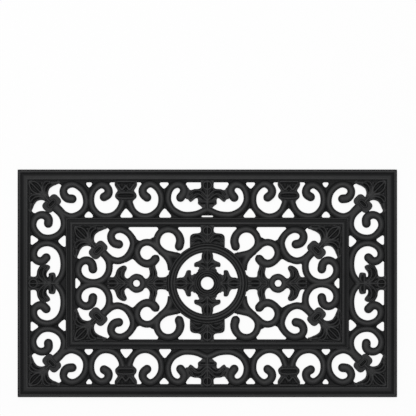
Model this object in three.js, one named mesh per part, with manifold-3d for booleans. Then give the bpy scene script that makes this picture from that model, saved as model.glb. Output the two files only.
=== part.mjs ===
// Openwork rubber door mat: a mitred outer frame, an inner frame, a border of paired scrolls between
// the two, and a field of scrolls round a medallion. The moulding is divided along the seams of its
// own design, so each frame, scroll, palmette, vase, leaf and clip is a section that can be read alone.
// Millimetres, +Z up, the long side along X, the origin on the floor under the middle of the mat.

import * as THREE from "three";
import { mergeVertices } from "three/addons/utils/BufferGeometryUtils.js";
import Module from "manifold-3d";

const wasm = await Module();
wasm.setup();

// Overall
const MAT_LENGTH = 750;
const MAT_WIDTH = 450;
const MAT_THICKNESS = 10;
const CORNER_RADIUS = 4;
const SEAM = 0.3; // clearance between neighbouring sections
const OVERRUN = 5; // how far a cutter runs past what it cuts

// Frames
const OUTER_FRAME_WIDTH = 25.5;
const INNER_FRAME_WIDTH = 19;
const BAND_WIDTH = 69.5; // from the outer frame's opening to the inner frame's outer edge
const OUTER_RAIL_WIDTH = 7;
const INNER_RAIL_WIDTH = 4;
const GROOVE_WIDTH = 2.5;
const FLANGE_WIDTH = 4; // low lip along a frame's opening
const VALLEY = 2; // low strip left between a scroll and the frame's step

// Scroll bars
const BAR_WIDTH = 12.5;
const FIELD_BAR_WIDTH = 13.5;
const BALL_WIDTH = 16.5; // a bar's rounded end

// Medallion: the ring's radius in the field's half width, then each part in the one outside it
const RING_SHARE = 0.7117;
const RING_WIDTH_SHARE = 0.2278;
const BOSS_SHARE = 0.38;
const BOSS_BORE_SHARE = 0.44;

// Ribs on the ornaments
const RIB_WIDTH = 4;
const CLIP_HALF_LENGTH = 17;
const CLIP_HALF_WIDTH = 9.5;
const CLIP_CORNER_RADIUS = 7;
const CLIP_SLOT_LENGTH = 15;
const CLIP_SLOT_WIDTH = 5;

// Heights above the floor
const STUD_HEIGHT = 1; // grip studs lift the body off the floor
const STUD_RADIUS = 3;
const GROOVE_FLOOR = 6.5;
const FLANGE_TOP = 5;
const WEB_TOP = 5;
const GROUND_TOP = 5.5;
const RIB_TOP = 8.7;
const CLIP_TOP = 7.5;
const SHOULDER_TOP = 7;

// Where the scrolls of the border meet, as shares of the way from the middle to the corner scrolls' far
// side, which in turn follows the band's width, because the corner leaf does
const CONTACT_SHARES = { palmetteToLyre: 0.2912, vase: 0.5548, lyreToCorner: 0.8081, side: 0.6007 };
const CORNER_SCROLL_SHARE = 0.85;
const CORNER_COLUMN_SHARE = 0.83;

const halfLength = MAT_LENGTH / 2;
const halfWidth = MAT_WIDTH / 2;
const outerOpening = new THREE.Vector2(halfLength - OUTER_FRAME_WIDTH, halfWidth - OUTER_FRAME_WIDTH);
const innerEdge = outerOpening.clone().subScalar(BAND_WIDTH);
const innerOpening = innerEdge.clone().subScalar(INNER_FRAME_WIDTH);
const bodyHeight = MAT_THICKNESS - STUD_HEIGHT;

// Drawing grids: the shares of the border's ornaments count seventieths of its width, those of the
// field parts of its half width, and those of the rosettes along X parts of the gap from ring to frame.
const BAND_GRID = 70;
const FIELD_GRID = 111;
const ROSETTE_GRID = 182;
const bandStep = BAND_WIDTH / BAND_GRID;
const fieldStep = innerOpening.y / FIELD_GRID;
const ringRadius = RING_SHARE * innerOpening.y;
const ringWidth = RING_WIDTH_SHARE * ringRadius;
const bossRadius = BOSS_SHARE * ringRadius;
const bossBoreRadius = BOSS_BORE_SHARE * bossRadius;
const rosetteStep = (innerOpening.x - ringRadius) / ROSETTE_GRID;

const FINE_STEPS = 240; // along a curve before it is thinned
const MITER_LIMIT_SHARE = 0.5;

// Solids and meshes

function facingOut(geometry) {
  const p = geometry.attributes.position;
  const index = geometry.index.array;
  const [a, b, c] = [new THREE.Vector3(), new THREE.Vector3(), new THREE.Vector3()];
  let volume = 0;
  for (let i = 0; i < index.length; i += 3) {
    a.fromBufferAttribute(p, index[i]);
    b.fromBufferAttribute(p, index[i + 1]);
    c.fromBufferAttribute(p, index[i + 2]);
    volume += a.dot(b.cross(c));
  }
  if (volume < 0) index.reverse();
  return geometry;
}

// A closed geometry as a solid: shared corners are merged and faces that collapsed are dropped.
function solidOf(geometry) {
  const bare = geometry.clone();
  bare.deleteAttribute("normal");
  bare.deleteAttribute("uv");
  const merged = mergeVertices(bare);
  const faces = [];
  for (let i = 0; i < merged.index.count; i += 3) {
    const [a, b, c] = merged.index.array.slice(i, i + 3);
    if (a !== b && b !== c && c !== a) faces.push(a, b, c);
  }
  merged.setIndex(faces);
  facingOut(merged);
  return new wasm.Manifold(
    new wasm.Mesh({
      numProp: 3,
      vertProperties: merged.attributes.position.array,
      triVerts: new Uint32Array(merged.index.array),
    }),
  );
}

function geometryOf(solid) {
  const { vertProperties, triVerts } = solid.getMesh();
  const geometry = new THREE.BufferGeometry();
  geometry.setAttribute("position", new THREE.BufferAttribute(new Float32Array(vertProperties), 3));
  geometry.setIndex(new THREE.BufferAttribute(new Uint32Array(triVerts), 1));
  return geometry;
}

// A copy of a solid across the mat's centre lines: x and y are 1 or -1.
function mirrored(solid, x, y) {
  const geometry = geometryOf(solid);
  geometry.applyMatrix4(new THREE.Matrix4().makeScale(x, y, 1));
  return solidOf(geometry);
}

const joined = (solids) => solids.reduce((all, solid) => all.add(solid));
const cutBy = (solid, cutters) => cutters.reduce((rest, cutter) => rest.subtract(cutter), solid);

function block(xs, ys, zs) {
  const sizes = [xs, ys, zs].map(([low, high]) => high - low);
  const middles = [xs, ys, zs].map(([low, high]) => (low + high) / 2);
  return solidOf(new THREE.BoxGeometry(...sizes).translate(...middles));
}

// An upright plate with the given outline, from the body's underside to a height.
function plate(outline, top, base = STUD_HEIGHT) {
  const shape = new THREE.Shape(outline.map(([x, y]) => new THREE.Vector2(x, y)));
  const geometry = new THREE.ExtrudeGeometry(shape, { depth: top - base, bevelEnabled: false });
  return solidOf(geometry.translate(0, 0, base));
}

// The outline moved outwards by a distance, or inwards by a negative one.
function grown(outline, distance) {
  const turn = THREE.ShapeUtils.area(outline.map(([x, y]) => new THREE.Vector2(x, y))) < 0 ? -1 : 1;
  return outline.map(([x, y], i) => {
    const [px, py] = outline[(i + outline.length - 1) % outline.length];
    const [nx, ny] = outline[(i + 1) % outline.length];
    const before = new THREE.Vector2(y - py, px - x).normalize();
    const after = new THREE.Vector2(ny - y, x - nx).normalize();
    const miter = before.clone().add(after).normalize();
    const reach = (distance * turn) / Math.max(miter.dot(after), MITER_LIMIT_SHARE);
    return [x + miter.x * reach, y + miter.y * reach];
  });
}

// What a section takes out of the sections that seat against it.
const seatOf = (outline) => plate(grown(outline, SEAM), MAT_THICKNESS + OVERRUN, -OVERRUN);

// Skins a row of rings that all have the same number of points; a closed row has no end caps.
function loft(rings, closed = false) {
  const size = rings[0].length;
  const faces = [];
  const last = closed ? rings.length : rings.length - 1;
  for (let i = 0; i < last; i++) {
    for (let j = 0; j < size; j++) {
      const a = i * size + j;
      const b = i * size + ((j + 1) % size);
      const c = ((i + 1) % rings.length) * size + j;
      const d = ((i + 1) % rings.length) * size + ((j + 1) % size);
      faces.push(a, b, d, a, d, c);
    }
  }
  const end = (rings.length - 1) * size;
  for (let j = 1; !closed && j < size - 1; j++) {
    faces.push(0, j + 1, j, end, end + j, end + j + 1);
  }
  const geometry = new THREE.BufferGeometry();
  geometry.setAttribute("position", new THREE.Float32BufferAttribute(rings.flat(2), 3));
  geometry.setIndex(faces);
  return solidOf(geometry);
}

// Stations along a smooth curve through the places, set closer together where the curve turns.
function stations(places, steps, closed = false) {
  const points = places.map(([x, y]) => new THREE.Vector3(x, y, 0));
  const curve = new THREE.CatmullRomCurve3(points, closed, "centripetal");
  const fine = curve.getSpacedPoints(FINE_STEPS);
  const headings = fine.map((p, i) => {
    const before = fine[Math.max(i - 1, 0)];
    const after = fine[Math.min(i + 1, FINE_STEPS)];
    return after.clone().sub(before).normalize();
  });
  const effort = [0];
  for (let i = 1; i <= FINE_STEPS; i++) {
    effort.push(effort[i - 1] + headings[i].angleTo(headings[i - 1]) + Math.PI / FINE_STEPS);
  }
  const picked = [];
  let i = 0;
  for (let k = 0; k <= (closed ? steps - 1 : steps); k++) {
    const target = (effort[FINE_STEPS] * k) / steps;
    while (i < FINE_STEPS - 1 && effort[i + 1] < target) i++;
    const along = (i + (target - effort[i]) / (effort[i + 1] - effort[i])) / FINE_STEPS;
    picked.push({ at: curve.getPointAt(along), heading: curve.getTangentAt(along), along });
  }
  return picked;
}

function ringAt({ at, heading }, section, half, base, lift = 1) {
  return section.map(([side, z]) => [
    at.x - heading.y * side * half,
    at.y + heading.x * side * half,
    base + (z - base) * lift,
  ]);
}

const barSection = [
  [-1, STUD_HEIGHT], [1, STUD_HEIGHT], [1, SHOULDER_TOP], [0, MAT_THICKNESS], [-1, SHOULDER_TOP],
];
const ribBase = (FLANGE_TOP + STUD_HEIGHT) / 2;
const ribSection = [[-1, ribBase], [1, ribBase], [0, RIB_TOP]];

// How the domed end of a bar closes: forward by a share of its radius, at a share of its height.
const DOME_SHARES = [[0.55, 0.95], [0.94, 0.75]];
const BALL_START_SHARE = 0.74;
const BAR_STEPS = 12;

// A scroll bar along the places; it ends in a domed ball at its last place.
function bar(places, width = BAR_WIDTH) {
  const route = stations(places, BAR_STEPS);
  const rings = route.map((station) => {
    const share = THREE.MathUtils.smoothstep(station.along, BALL_START_SHARE, 1);
    const half = THREE.MathUtils.lerp(width, BALL_WIDTH, share) / 2;
    return ringAt(station, barSection, half, STUD_HEIGHT);
  });
  const { at, heading } = route.at(-1);
  for (const [forward, lift] of DOME_SHARES) {
    const moved = at.clone().addScaledVector(heading, (forward * BALL_WIDTH) / 2);
    const half = (BALL_WIDTH / 2) * Math.sqrt(1 - forward ** 2);
    rings.push(ringAt({ at: moved, heading }, barSection, half, STUD_HEIGHT, lift));
  }
  return loft(rings);
}

// A raised rib along the places, open at its ends or closed on itself.
function rib(places, steps, closed = false) {
  const rings = stations(places, steps, closed).map((station) =>
    ringAt(station, ribSection, RIB_WIDTH / 2, ribBase),
  );
  return loft(rings, closed);
}

// Frames

const CORNER_STEPS = 2;

// A profile of [inset from the edge, height] carried round a rectangle with mitred corners,
// which are rounded as far in as the corner radius reaches.
function framed(half, radius, profile) {
  const rings = [];
  for (let quarter = 0; quarter < 4; quarter++) {
    const sideX = quarter === 0 || quarter === 3 ? 1 : -1;
    const sideY = quarter < 2 ? 1 : -1;
    for (let step = 0; step <= CORNER_STEPS; step++) {
      const angle = (quarter + step / CORNER_STEPS) * (Math.PI / 2);
      rings.push(
        profile.map(([inset, z]) => {
          const arm = Math.max(radius - inset, 0);
          const pivot = Math.max(radius, inset);
          return [
            sideX * (half.x - pivot) + arm * Math.cos(angle),
            sideY * (half.y - pivot) + arm * Math.sin(angle),
            z,
          ];
        }),
      );
    }
  }
  return loft(rings, true);
}

const RAIL_SHARES = [[0, 0.8], [0.3, 0.97], [0.7, 0.97], [1, 0.8]];
const BAND_SHARES = [[0, 0.83], [0.1, 0.91], [0.45, 0.87], [0.8, 0.98], [1, 0.83]];

const scaled = (shares, start, width, base, height) =>
  shares.map(([across, up]) => [start + across * width, base + up * height]);

// Rail, groove, moulded band and low flange, from the outer edge to the opening.
function frameProfile(width, railWidth) {
  const bandStart = railWidth + GROOVE_WIDTH;
  const step = width - FLANGE_WIDTH;
  return [
    [0, STUD_HEIGHT],
    ...scaled(RAIL_SHARES, 0, railWidth, STUD_HEIGHT, bodyHeight),
    [railWidth, GROOVE_FLOOR],
    [bandStart, GROOVE_FLOOR],
    ...scaled(BAND_SHARES, bandStart, step - bandStart, STUD_HEIGHT, bodyHeight),
    [step, FLANGE_TOP],
    [width, FLANGE_TOP],
    [width, STUD_HEIGHT],
  ];
}

// The room a frame needs: the whole height up to its step, and less over its flange.
function frameSeat(half, width) {
  const step = width - FLANGE_WIDTH + SEAM;
  return framed(half, 0, [
    [-SEAM, -OVERRUN],
    [-SEAM, MAT_THICKNESS + OVERRUN],
    [step, MAT_THICKNESS + OVERRUN],
    [step, FLANGE_TOP + SEAM],
    [width + SEAM, FLANGE_TOP + SEAM],
    [width + SEAM, -OVERRUN],
  ]);
}

const edge = new THREE.Vector2(halfLength, halfWidth);
const outerSeat = frameSeat(edge, OUTER_FRAME_WIDTH);
const innerSeat = frameSeat(innerEdge, INNER_FRAME_WIDTH);
const outerStep = outerOpening.clone().addScalar(FLANGE_WIDTH);
const innerStep = innerOpening.clone().addScalar(FLANGE_WIDTH);

// Ring and boss

const RING_STEPS = 32;
const BOSS_STEPS = 20;
const BORE_STEPS = 12;
const RING_SHARES = [[0, 0], [0, 0.8], [0.2, 0.68], [0.44, 1], [0.58, 0.8], [0.74, 0.92], [1, 0.6], [1, 0]];
const BOSS_SHARES = [[0, 0], [0, 0.8], [0.28, 0.65], [0.5, 0.96], [0.66, 0.76], [0.81, 0.9], [1, 0.61], [1, 0]];

function turned(shares, outerRadius, width, steps) {
  const profile = shares.map(([inwards, up]) => [outerRadius - inwards * width, STUD_HEIGHT + up * bodyHeight]);
  profile.push(profile[0]);
  const geometry = new THREE.LatheGeometry(profile.map(([r, z]) => new THREE.Vector2(r, z)), steps);
  return solidOf(geometry.rotateX(Math.PI / 2));
}

function disc(radius, steps, middle = [0, 0], top = MAT_THICKNESS + OVERRUN, base = -OVERRUN) {
  const geometry = new THREE.CylinderGeometry(radius, radius, top - base, steps);
  return solidOf(geometry.rotateX(Math.PI / 2).translate(...middle, (top + base) / 2));
}

const ring = turned(RING_SHARES, ringRadius, ringWidth, RING_STEPS);
const boss = turned(BOSS_SHARES, bossRadius, bossRadius - bossBoreRadius, BOSS_STEPS);
const ringRoom = disc(ringRadius - ringWidth - SEAM, RING_STEPS);
const ringSeat = disc(ringRadius + SEAM, RING_STEPS).subtract(ringRoom);
const bossSeat = disc(bossRadius + SEAM, BOSS_STEPS);

// Scroll routes. Each scroll has a box that its centre line fills, half a bar inside the cell that
// the bar itself fills, and its places are shares of that box.

const cornerScrollEnd = outerOpening.x - CORNER_SCROLL_SHARE * BAND_WIDTH;
const cornerColumnEnd = outerOpening.y - CORNER_COLUMN_SHARE * BAND_WIDTH;
const contacts = {
  palmetteToLyre: CONTACT_SHARES.palmetteToLyre * cornerScrollEnd,
  vase: CONTACT_SHARES.vase * cornerScrollEnd,
  lyreToCorner: CONTACT_SHARES.lyreToCorner * cornerScrollEnd,
  side: CONTACT_SHARES.side * cornerColumnEnd,
};
const halfBar = BAR_WIDTH / 2;
const rowLine = [innerEdge.y + halfBar, outerStep.y - VALLEY - halfBar];
const columnLine = [innerEdge.x + halfBar, outerStep.x - VALLEY - halfBar];
const fieldLine = innerStep.clone().subScalar(VALLEY + FIELD_BAR_WIDTH / 2);

const inBox = (shares, [left, right], [low, high]) =>
  shares.map(([u, v]) => [THREE.MathUtils.lerp(left, right, u), THREE.MathUtils.lerp(low, high, v)]);

// The field's drawing counts shares of its half length, of which the medallion always takes the same.
const MEDALLION_SHARE = 0.3083;
const pastRing = (u) => (u - MEDALLION_SHARE) / (1 - MEDALLION_SHARE);
const inField = (shares) =>
  inBox(shares.map(([u, v]) => [pastRing(u), v]), [ringRadius, fieldLine.x], [0, fieldLine.y]);

const palmetteScrollShares = [
  [0, 0.165], [0.115, 0.1], [0.255, 0.02], [0.42, -0.02], [0.605, -0.015], [0.755, 0.06], [0.885, 0.185],
  [0.97, 0.365], [1, 0.54], [0.965, 0.78], [0.87, 0.95], [0.73, 1.01], [0.615, 0.92], [0.59, 0.75], [0.68, 0.565],
];
const lyreNearShares = [
  [1.015, 0.55], [0.965, 0.33], [0.88, 0.13], [0.725, -0.02], [0.52, -0.08], [0.325, -0.04], [0.16, 0.08],
  [0.045, 0.23], [-0.005, 0.45], [0.02, 0.69], [0.155, 0.915], [0.335, 1.025], [0.5, 0.955], [0.58, 0.82],
  [0.555, 0.68], [0.445, 0.57],
];
const lyreFarShares = [
  [-0.015, 0.55], [0.03, 0.33], [0.115, 0.15], [0.285, -0.01], [0.535, -0.075], [0.75, -0.025], [0.895, 0.1],
  [1, 0.28], [1.03, 0.5], [0.99, 0.725], [0.875, 0.89], [0.715, 0.99], [0.555, 0.955], [0.465, 0.835],
  [0.475, 0.68], [0.605, 0.585],
];
const cornerRowShares = [
  [1.42, 0.285], [1.19, 0.145], [0.985, 0.01], [0.665, -0.07], [0.35, -0.01], [0.12, 0.115], [-0.02, 0.31],
  [-0.025, 0.54], [0.08, 0.755], [0.3, 0.925], [0.565, 1.01], [0.83, 0.975], [1, 0.85], [0.995, 0.68],
  [0.84, 0.545], [0.61, 0.52],
];
const cornerColumnShares = [
  [0.28, 1.36], [0.11, 1.12], [0.005, 0.91], [-0.045, 0.64], [-0.015, 0.38], [0.1, 0.16], [0.285, 0.01],
  [0.5, -0.04], [0.71, 0.02], [0.88, 0.215], [0.98, 0.455], [0.975, 0.7], [0.89, 0.9], [0.735, 1],
  [0.565, 0.955], [0.475, 0.81], [0.48, 0.61],
];
const sideScrollShares = [
  [0.245, 0], [0.13, 0.095], [0.03, 0.21], [-0.025, 0.355], [-0.035, 0.53], [0.01, 0.715], [0.12, 0.865],
  [0.3, 0.97], [0.51, 1.01], [0.715, 0.98], [0.875, 0.9], [0.965, 0.78], [0.95, 0.645], [0.835, 0.565],
  [0.68, 0.56], [0.55, 0.645],
];
const fieldUpperShares = [
  [0.81, 0.58], [0.793, 0.538], [0.76, 0.475], [0.733, 0.438], [0.687, 0.418], [0.633, 0.468], [0.594, 0.58],
  [0.573, 0.729], [0.582, 0.835], [0.611, 0.935], [0.662, 1], [0.712, 0.985], [0.741, 0.915], [0.741, 0.825],
  [0.718, 0.75], [0.684, 0.7275],
];
const fieldLowerShares = [
  [0.81, 0.58], [0.783, 0.505], [0.763, 0.415], [0.757, 0.3], [0.767, 0.19], [0.798, 0.085], [0.84, 0.03],
  [0.885, 0.015], [0.937, 0.04], [0.978, 0.11], [0.998, 0.217], [0.992, 0.33], [0.963, 0.41], [0.924, 0.425],
  [0.893, 0.365], [0.884, 0.264],
];

// The two hooks beside the medallion start inside its ring, at these angles from the X axis.
const ROOT_DEPTH_SHARE = 0.25; // of the ring's width
const UPPER_ROOT_ANGLE = THREE.MathUtils.degToRad(44);
const LOWER_ROOT_ANGLE = THREE.MathUtils.degToRad(20);
const aroundRing = (radius, angle) => [radius * Math.cos(angle), radius * Math.sin(angle)];
const onRing = (angle) => aroundRing(ringRadius - ROOT_DEPTH_SHARE * ringWidth, angle);
const upperHookShares = [
  [0.273, 0.53], [0.322, 0.56], [0.361, 0.622], [0.386, 0.705], [0.391, 0.81], [0.375, 0.915], [0.344, 0.985],
  [0.301, 1.01], [0.255, 0.98], [0.222, 0.9], [0.209, 0.79], [0.218, 0.69],
];
const lowerHookShares = [
  [0.287, 0.377], [0.309, 0.481], [0.345, 0.571], [0.385, 0.66], [0.425, 0.74], [0.471, 0.765], [0.517, 0.72],
  [0.543, 0.613], [0.541, 0.51], [0.514, 0.41], [0.466, 0.365], [0.42, 0.4], [0.394, 0.468],
];

// Webs: low plates in the cusps where scrolls touch, some with the open gap between the bars.

function web(outline, gap) {
  const filled = plate(outline, WEB_TOP);
  return gap ? filled.subtract(plate(gap, MAT_THICKNESS + OVERRUN, -OVERRUN)) : filled;
}

// Places along the border's long sides: across from a contact, up from the inner frame's edge.
const fromEdge = (x, shares) =>
  shares.map(([across, up]) => [x + across * bandStep, innerEdge.y + up * bandStep]);
const lowCuspShares = [[-34, -2], [34, -2], [12, 20], [0, 44], [-12, 20]];
const palmetteGapShares = [[-16, 1], [12.3, 1], [7.3, 10], [0, 19], [-7.8, 13]];
const vaseGapShares = [[-13.6, 1.1], [11.8, 1.1], [7, 9.8], [0, 18.3], [-7, 11.4]];
const cornerGapShares = [[-10.2, 0.7], [9.8, 0.7], [5.5, 7.8], [0, 13], [-5.5, 7.8]];
const highCuspShares = [[0, 30], [7, 46], [9, 57], [30, 71], [-30, 71], [-9, 57], [-7, 46]];
const palmetteHighGapShares = [[-12, 71.5], [14, 71.5], [1, 56.5]];
const cornerHighGapShares = [[-10, 71.5], [8, 71.5], [-0.8, 58.5]];
const rowStemShares = [[-30, -2], [30, -2], [14, 10], [0, 16], [-14, 10]];
const rowWebs = {
  palmetteToLyre: web(
    fromEdge(contacts.palmetteToLyre, lowCuspShares),
    fromEdge(contacts.palmetteToLyre, palmetteGapShares),
  ),
  vase: web(fromEdge(contacts.vase, lowCuspShares), fromEdge(contacts.vase, vaseGapShares)),
  lyreToCorner: web(
    fromEdge(contacts.lyreToCorner, lowCuspShares),
    fromEdge(contacts.lyreToCorner, cornerGapShares),
  ),
};
const highWebs = {
  palmetteToLyre: web(
    fromEdge(contacts.palmetteToLyre, highCuspShares),
    fromEdge(contacts.palmetteToLyre, palmetteHighGapShares),
  ),
  lyreToCorner: web(
    fromEdge(contacts.lyreToCorner, highCuspShares),
    fromEdge(contacts.lyreToCorner, cornerHighGapShares),
  ),
};
const rowStemWeb = web(fromEdge(0, rowStemShares));

// Webs in the narrow places where a scroll nears a frame's lip, in shares of that scroll's box.
const palmetteLipShares = [[0.536, 1.0889], [0.6488, 1.0889], [0.5398, 0.9122]];
const cornerLipShares = [[1.1055, 1.0889], [0.8116, 1.0889], [1.0665, 0.8785]];
const sideLipShares = [[1.0889, 0.5572], [1.0889, 0.6641], [0.9206, 0.6138]];
const columnLipShares = [[1.0889, 1.0449], [1.0889, 0.7591], [0.8701, 1.0629]];

// Places along the border's short sides: out from the inner frame's edge, up from a contact.
const fromSide = (y, shares) => shares.map(([out, up]) => [innerEdge.x + out * bandStep, y + up * bandStep]);
const stemSlotShares = [[-13.5, 0.7], [13.5, 0.7], [12.5, 3.6], [-12.5, 3.6]]; // in the back web alone
const stemSlot = plate(fromEdge(0, stemSlotShares), MAT_THICKNESS + OVERRUN, -OVERRUN);
const sideLowShares = [[-2, -36], [12, -12], [42, 0], [12, 12], [-2, 36]];
const sideGapShares = [[0.6, -15.5], [8.5, -9.5], [16, -1.5], [9, 4.5], [0.6, 11.5]];
const sideHighShares = [[30, 0], [46, -7], [57, -9], [71, -30], [71, 30], [57, 9], [46, 7]];
const sideHighGapShares = [[71.5, -12], [71.5, 12.2], [53.5, 0.5]];
const sideStemShares = [[-2, -34], [8, -16], [20, 0], [8, 16], [-2, 34]];
const cornerTrunkShares = [[-26, -2], [-2, -2], [-2, -26], [8, -8], [16, 16], [-8, 8]];
const sideLowWeb = web(fromSide(contacts.side, sideLowShares), fromSide(contacts.side, sideGapShares));
const sideHighWeb = web(fromSide(contacts.side, sideHighShares), fromSide(contacts.side, sideHighGapShares));
const sideStemWeb = web(fromSide(0, sideStemShares));
const cornerTrunkWeb = web(fromSide(innerEdge.y, cornerTrunkShares));

// In the field: where a hook and a corner scroll touch, where two corner scrolls touch over the
// centre line, and beside the hooks' roots.
const FIELD_CONTACT_SHARE = 0.563;
const [[fieldContact]] = inField([[FIELD_CONTACT_SHARE, 0]]);
const touchShares = [
  [0.535, 0.35], [0.576, 0.455], [0.63, 0.38], [0.645, 0.46], [0.6, 0.6], [0.593, 0.8], [0.574, 0.94],
  [0.551, 0.862], [0.543, 0.817], [0.524, 0.8], [0.5, 0.79], [0.527, 0.659], [0.54, 0.565], [0.507, 0.424],
];
const nearMeetingShares = [[0.76, -0.02], [0.765, 0.14], [0.8, 0.08], [0.84, -0.02]];
const farMeetingShares = [[0.935, -0.02], [0.955, 0.05], [0.985, 0.09], [0.985, -0.02]];
const shoulderShares = [[0.39, 0.73], [0.445, 0.745], [0.443, 0.83], [0.425, 0.86], [0.395, 0.83]];
const hookLipShares = [
  [[0.2244, 1.0419], [0.2732, 1.054], [0.238, 0.9553]],
  [[0.3887, 1.0419], [0.3356, 1.054], [0.3707, 0.9506]],
];
const fieldLipShares = [
  [[0.6076, 1.0419], [0.6595, 1.054], [0.6205, 0.9506]],
  [[0.7625, 1.0419], [0.7063, 1.054], [0.7454, 0.9318]],
  [[1.0174, 0.4489], [1.0224, 0.3106], [0.9717, 0.4141]],
];
// Out from the middle in ring radii, and round the ring from the lower root to the upper one.
const rootShares = [[1.2, 0.654], [1.265, 0.504], [1.09, 0.296]];
const rootPlaces = rootShares.map(([reach, turn]) =>
  aroundRing(reach * ringRadius, THREE.MathUtils.lerp(LOWER_ROOT_ANGLE, UPPER_ROOT_ANGLE, turn)),
);
const touchWeb = web(inField(touchShares));
const cornerShares = [nearMeetingShares, farMeetingShares, ...fieldLipShares];
const cornerWebs = cornerShares.map((shares) => web(inField(shares)));
const hookWebs = [
  ...[shoulderShares, ...hookLipShares].map((shares) => web(inField(shares))),
  web([onRing(UPPER_ROOT_ANGLE), ...rootPlaces, onRing(LOWER_ROOT_ANGLE)]),
];

// Ornaments. Outlines and ribs are half drawings, mirrored about their own centre line.

const flipped = (places) => places.map(([x, y]) => [-x, y]);
const bothSides = (half) => [...half, ...flipped(half).reverse()];

// Joins a plate, its ribs and its pockets into one section, and cuts it clear of its neighbours.
function ornament({ outline, ribs = [], top = GROUND_TOP, pockets = [], neighbours = [] }) {
  const solid = joined([plate(outline, top), ...ribs]);
  return cutBy(solid, [...pockets, ...neighbours]);
}

// The bud of a palmette is a round rib: its middle and its radius, in grid steps.
const circleShares = [[1, 0], [0.7, 0.7], [0, 1], [-0.7, 0.7], [-1, 0], [-0.7, -0.7], [0, -1], [0.7, -0.7]];
const BUD_STEPS = 8;
const BUD_SHARES = { border: [64.6, 8.6], side: [65, 9.2], field: [103.8, 8.6] };
const bud = ([middle, radius]) => ({
  shares: circleShares.map(([u, v]) => [u * radius, middle + v * radius]),
  steps: BUD_STEPS,
  closed: true,
});

const ribsOf = (drawings, place) =>
  drawings.flatMap(({ shares, steps, closed, pair }) => {
    const sides = pair ? [shares, flipped(shares)] : [shares];
    return sides.map((side) => rib(side.map(place), steps, closed));
  });

// Border palmette: a bud in a ring over two hooked leaves, on a stem.
// Its width follows the scrolls that it stands between.
const PALMETTE_GRID = 85.2;
const palmetteStep = contacts.palmetteToLyre / PALMETTE_GRID;
const palmettePlace = ([x, y]) => [x * palmetteStep, innerEdge.y + y * bandStep];
const palmetteEdgeShares = [
  [8, 18], [13.6, 23], [18.9, 27.5], [18.7, 32.4], [19.9, 38.1], [24, 37.6], [29, 33.4], [34, 31], [38.5, 36],
  [43, 37.5], [43, 60], [38.5, 60], [34.5, 53.5], [26, 57], [17.4, 58.2], [13.9, 61], [13.5, 75],
];
const palmetteRibShares = [
  bud(BUD_SHARES.border),
  { shares: [[0, 18], [0, 75]], steps: 1 },
  { shares: [[2, 36], [8, 45.5], [14, 52], [21, 54.5], [28.5, 52.5], [34.5, 39]], steps: 4, pair: true },
];
const palmetteOutline = bothSides(palmetteEdgeShares).map(palmettePlace);
const palmette = ornament({
  outline: palmetteOutline,
  ribs: ribsOf(palmetteRibShares, palmettePlace),
  neighbours: [outerSeat],
});
const palmetteSeat = seatOf(palmetteOutline);

// Side palmette: the same plant in the narrower side band, drawn outwards from the inner frame.
const SIDE_GRID = 85.8;
const sideStep = contacts.side / SIDE_GRID;
const sidePlace = ([y, x]) => [innerEdge.x + x * bandStep, y * sideStep];
const sideEdgeShares = [
  [8, 23], [18, 24], [20.5, 28], [19.5, 33], [13.5, 33.5], [12.3, 36], [15, 38], [21, 37.5], [30, 31.5],
  [34, 31.5], [37, 36], [38, 40], [42, 40], [42, 51], [36, 51.5], [26, 56.5], [15, 59], [13.2, 66], [15, 75],
];
const sideRibShares = [
  bud(BUD_SHARES.side),
  { shares: [[0, 23], [0, 75]], steps: 1 },
  { shares: [[4, 45], [12, 53], [19, 55], [28, 53], [35, 48]], steps: 3, pair: true },
];
const sideOutline = bothSides(sideEdgeShares).map(sidePlace);
const sidePalmette = ornament({
  outline: sideOutline,
  ribs: ribsOf(sideRibShares, sidePlace),
  neighbours: [outerSeat],
});
const sidePalmetteSeat = seatOf(sideOutline);

// Vase: a flared top with a zigzag lip over a collar, standing on the lyre's two legs.
const vasePlace = ([x, y]) => [contacts.vase + x * bandStep, innerEdge.y + y * bandStep];
const vaseEdgeShares = [
  [15.2, 36], [15.6, 29.5], [19, 32.5], [22.3, 36], [23, 41], [21.5, 48], [18.6, 53.5], [20, 57.5], [23.3, 61],
  [24.3, 66], [23.3, 70], [20, 75],
];
const vaseRibShares = [
  { shares: [[-14.5, 71], [14.5, 71], [19, 65.5], [9.5, 56], [0, 65], [-9.5, 56], [-19, 65.5]], steps: 8,
    closed: true },
  { shares: [[-15, 41], [15, 41], [18, 45], [15, 49.5], [-15, 49.5], [-18, 45]], steps: 6, closed: true },
];
const vaseOutline = bothSides(vaseEdgeShares).map(vasePlace);
const vase = ornament({
  outline: vaseOutline,
  ribs: ribsOf(vaseRibShares, vasePlace),
  neighbours: [outerSeat],
});
const vaseSeat = seatOf(vaseOutline);

// Corner ornament: a clip across the diagonal, and a pointed leaf between two hooked ones. It is
// drawn along the diagonal from the opening's corner: [across it, along it towards the corner].

const leafEdgeShares = [
  [6, -52], [7, -43], [8.3, -40], [10.5, -37], [14, -34.8], [18.5, -34.2], [24, -36], [30, -38.3], [36, -40],
  [42, -42.5],
];
const leafHeelShares = [[42, -34], [0, 8], [-42, -34]];
const hookRibShares = [
  { shares: [[4, -39], [9, -30], [16, -27], [24, -28.5], [36, -37]], steps: 3, pair: true },
];
const leafRibShares = [
  { shares: [[0, -24], [6, -16], [7.5, -8], [0, 6], [-7.5, -8], [-6, -16]], steps: 6, closed: true },
];

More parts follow.
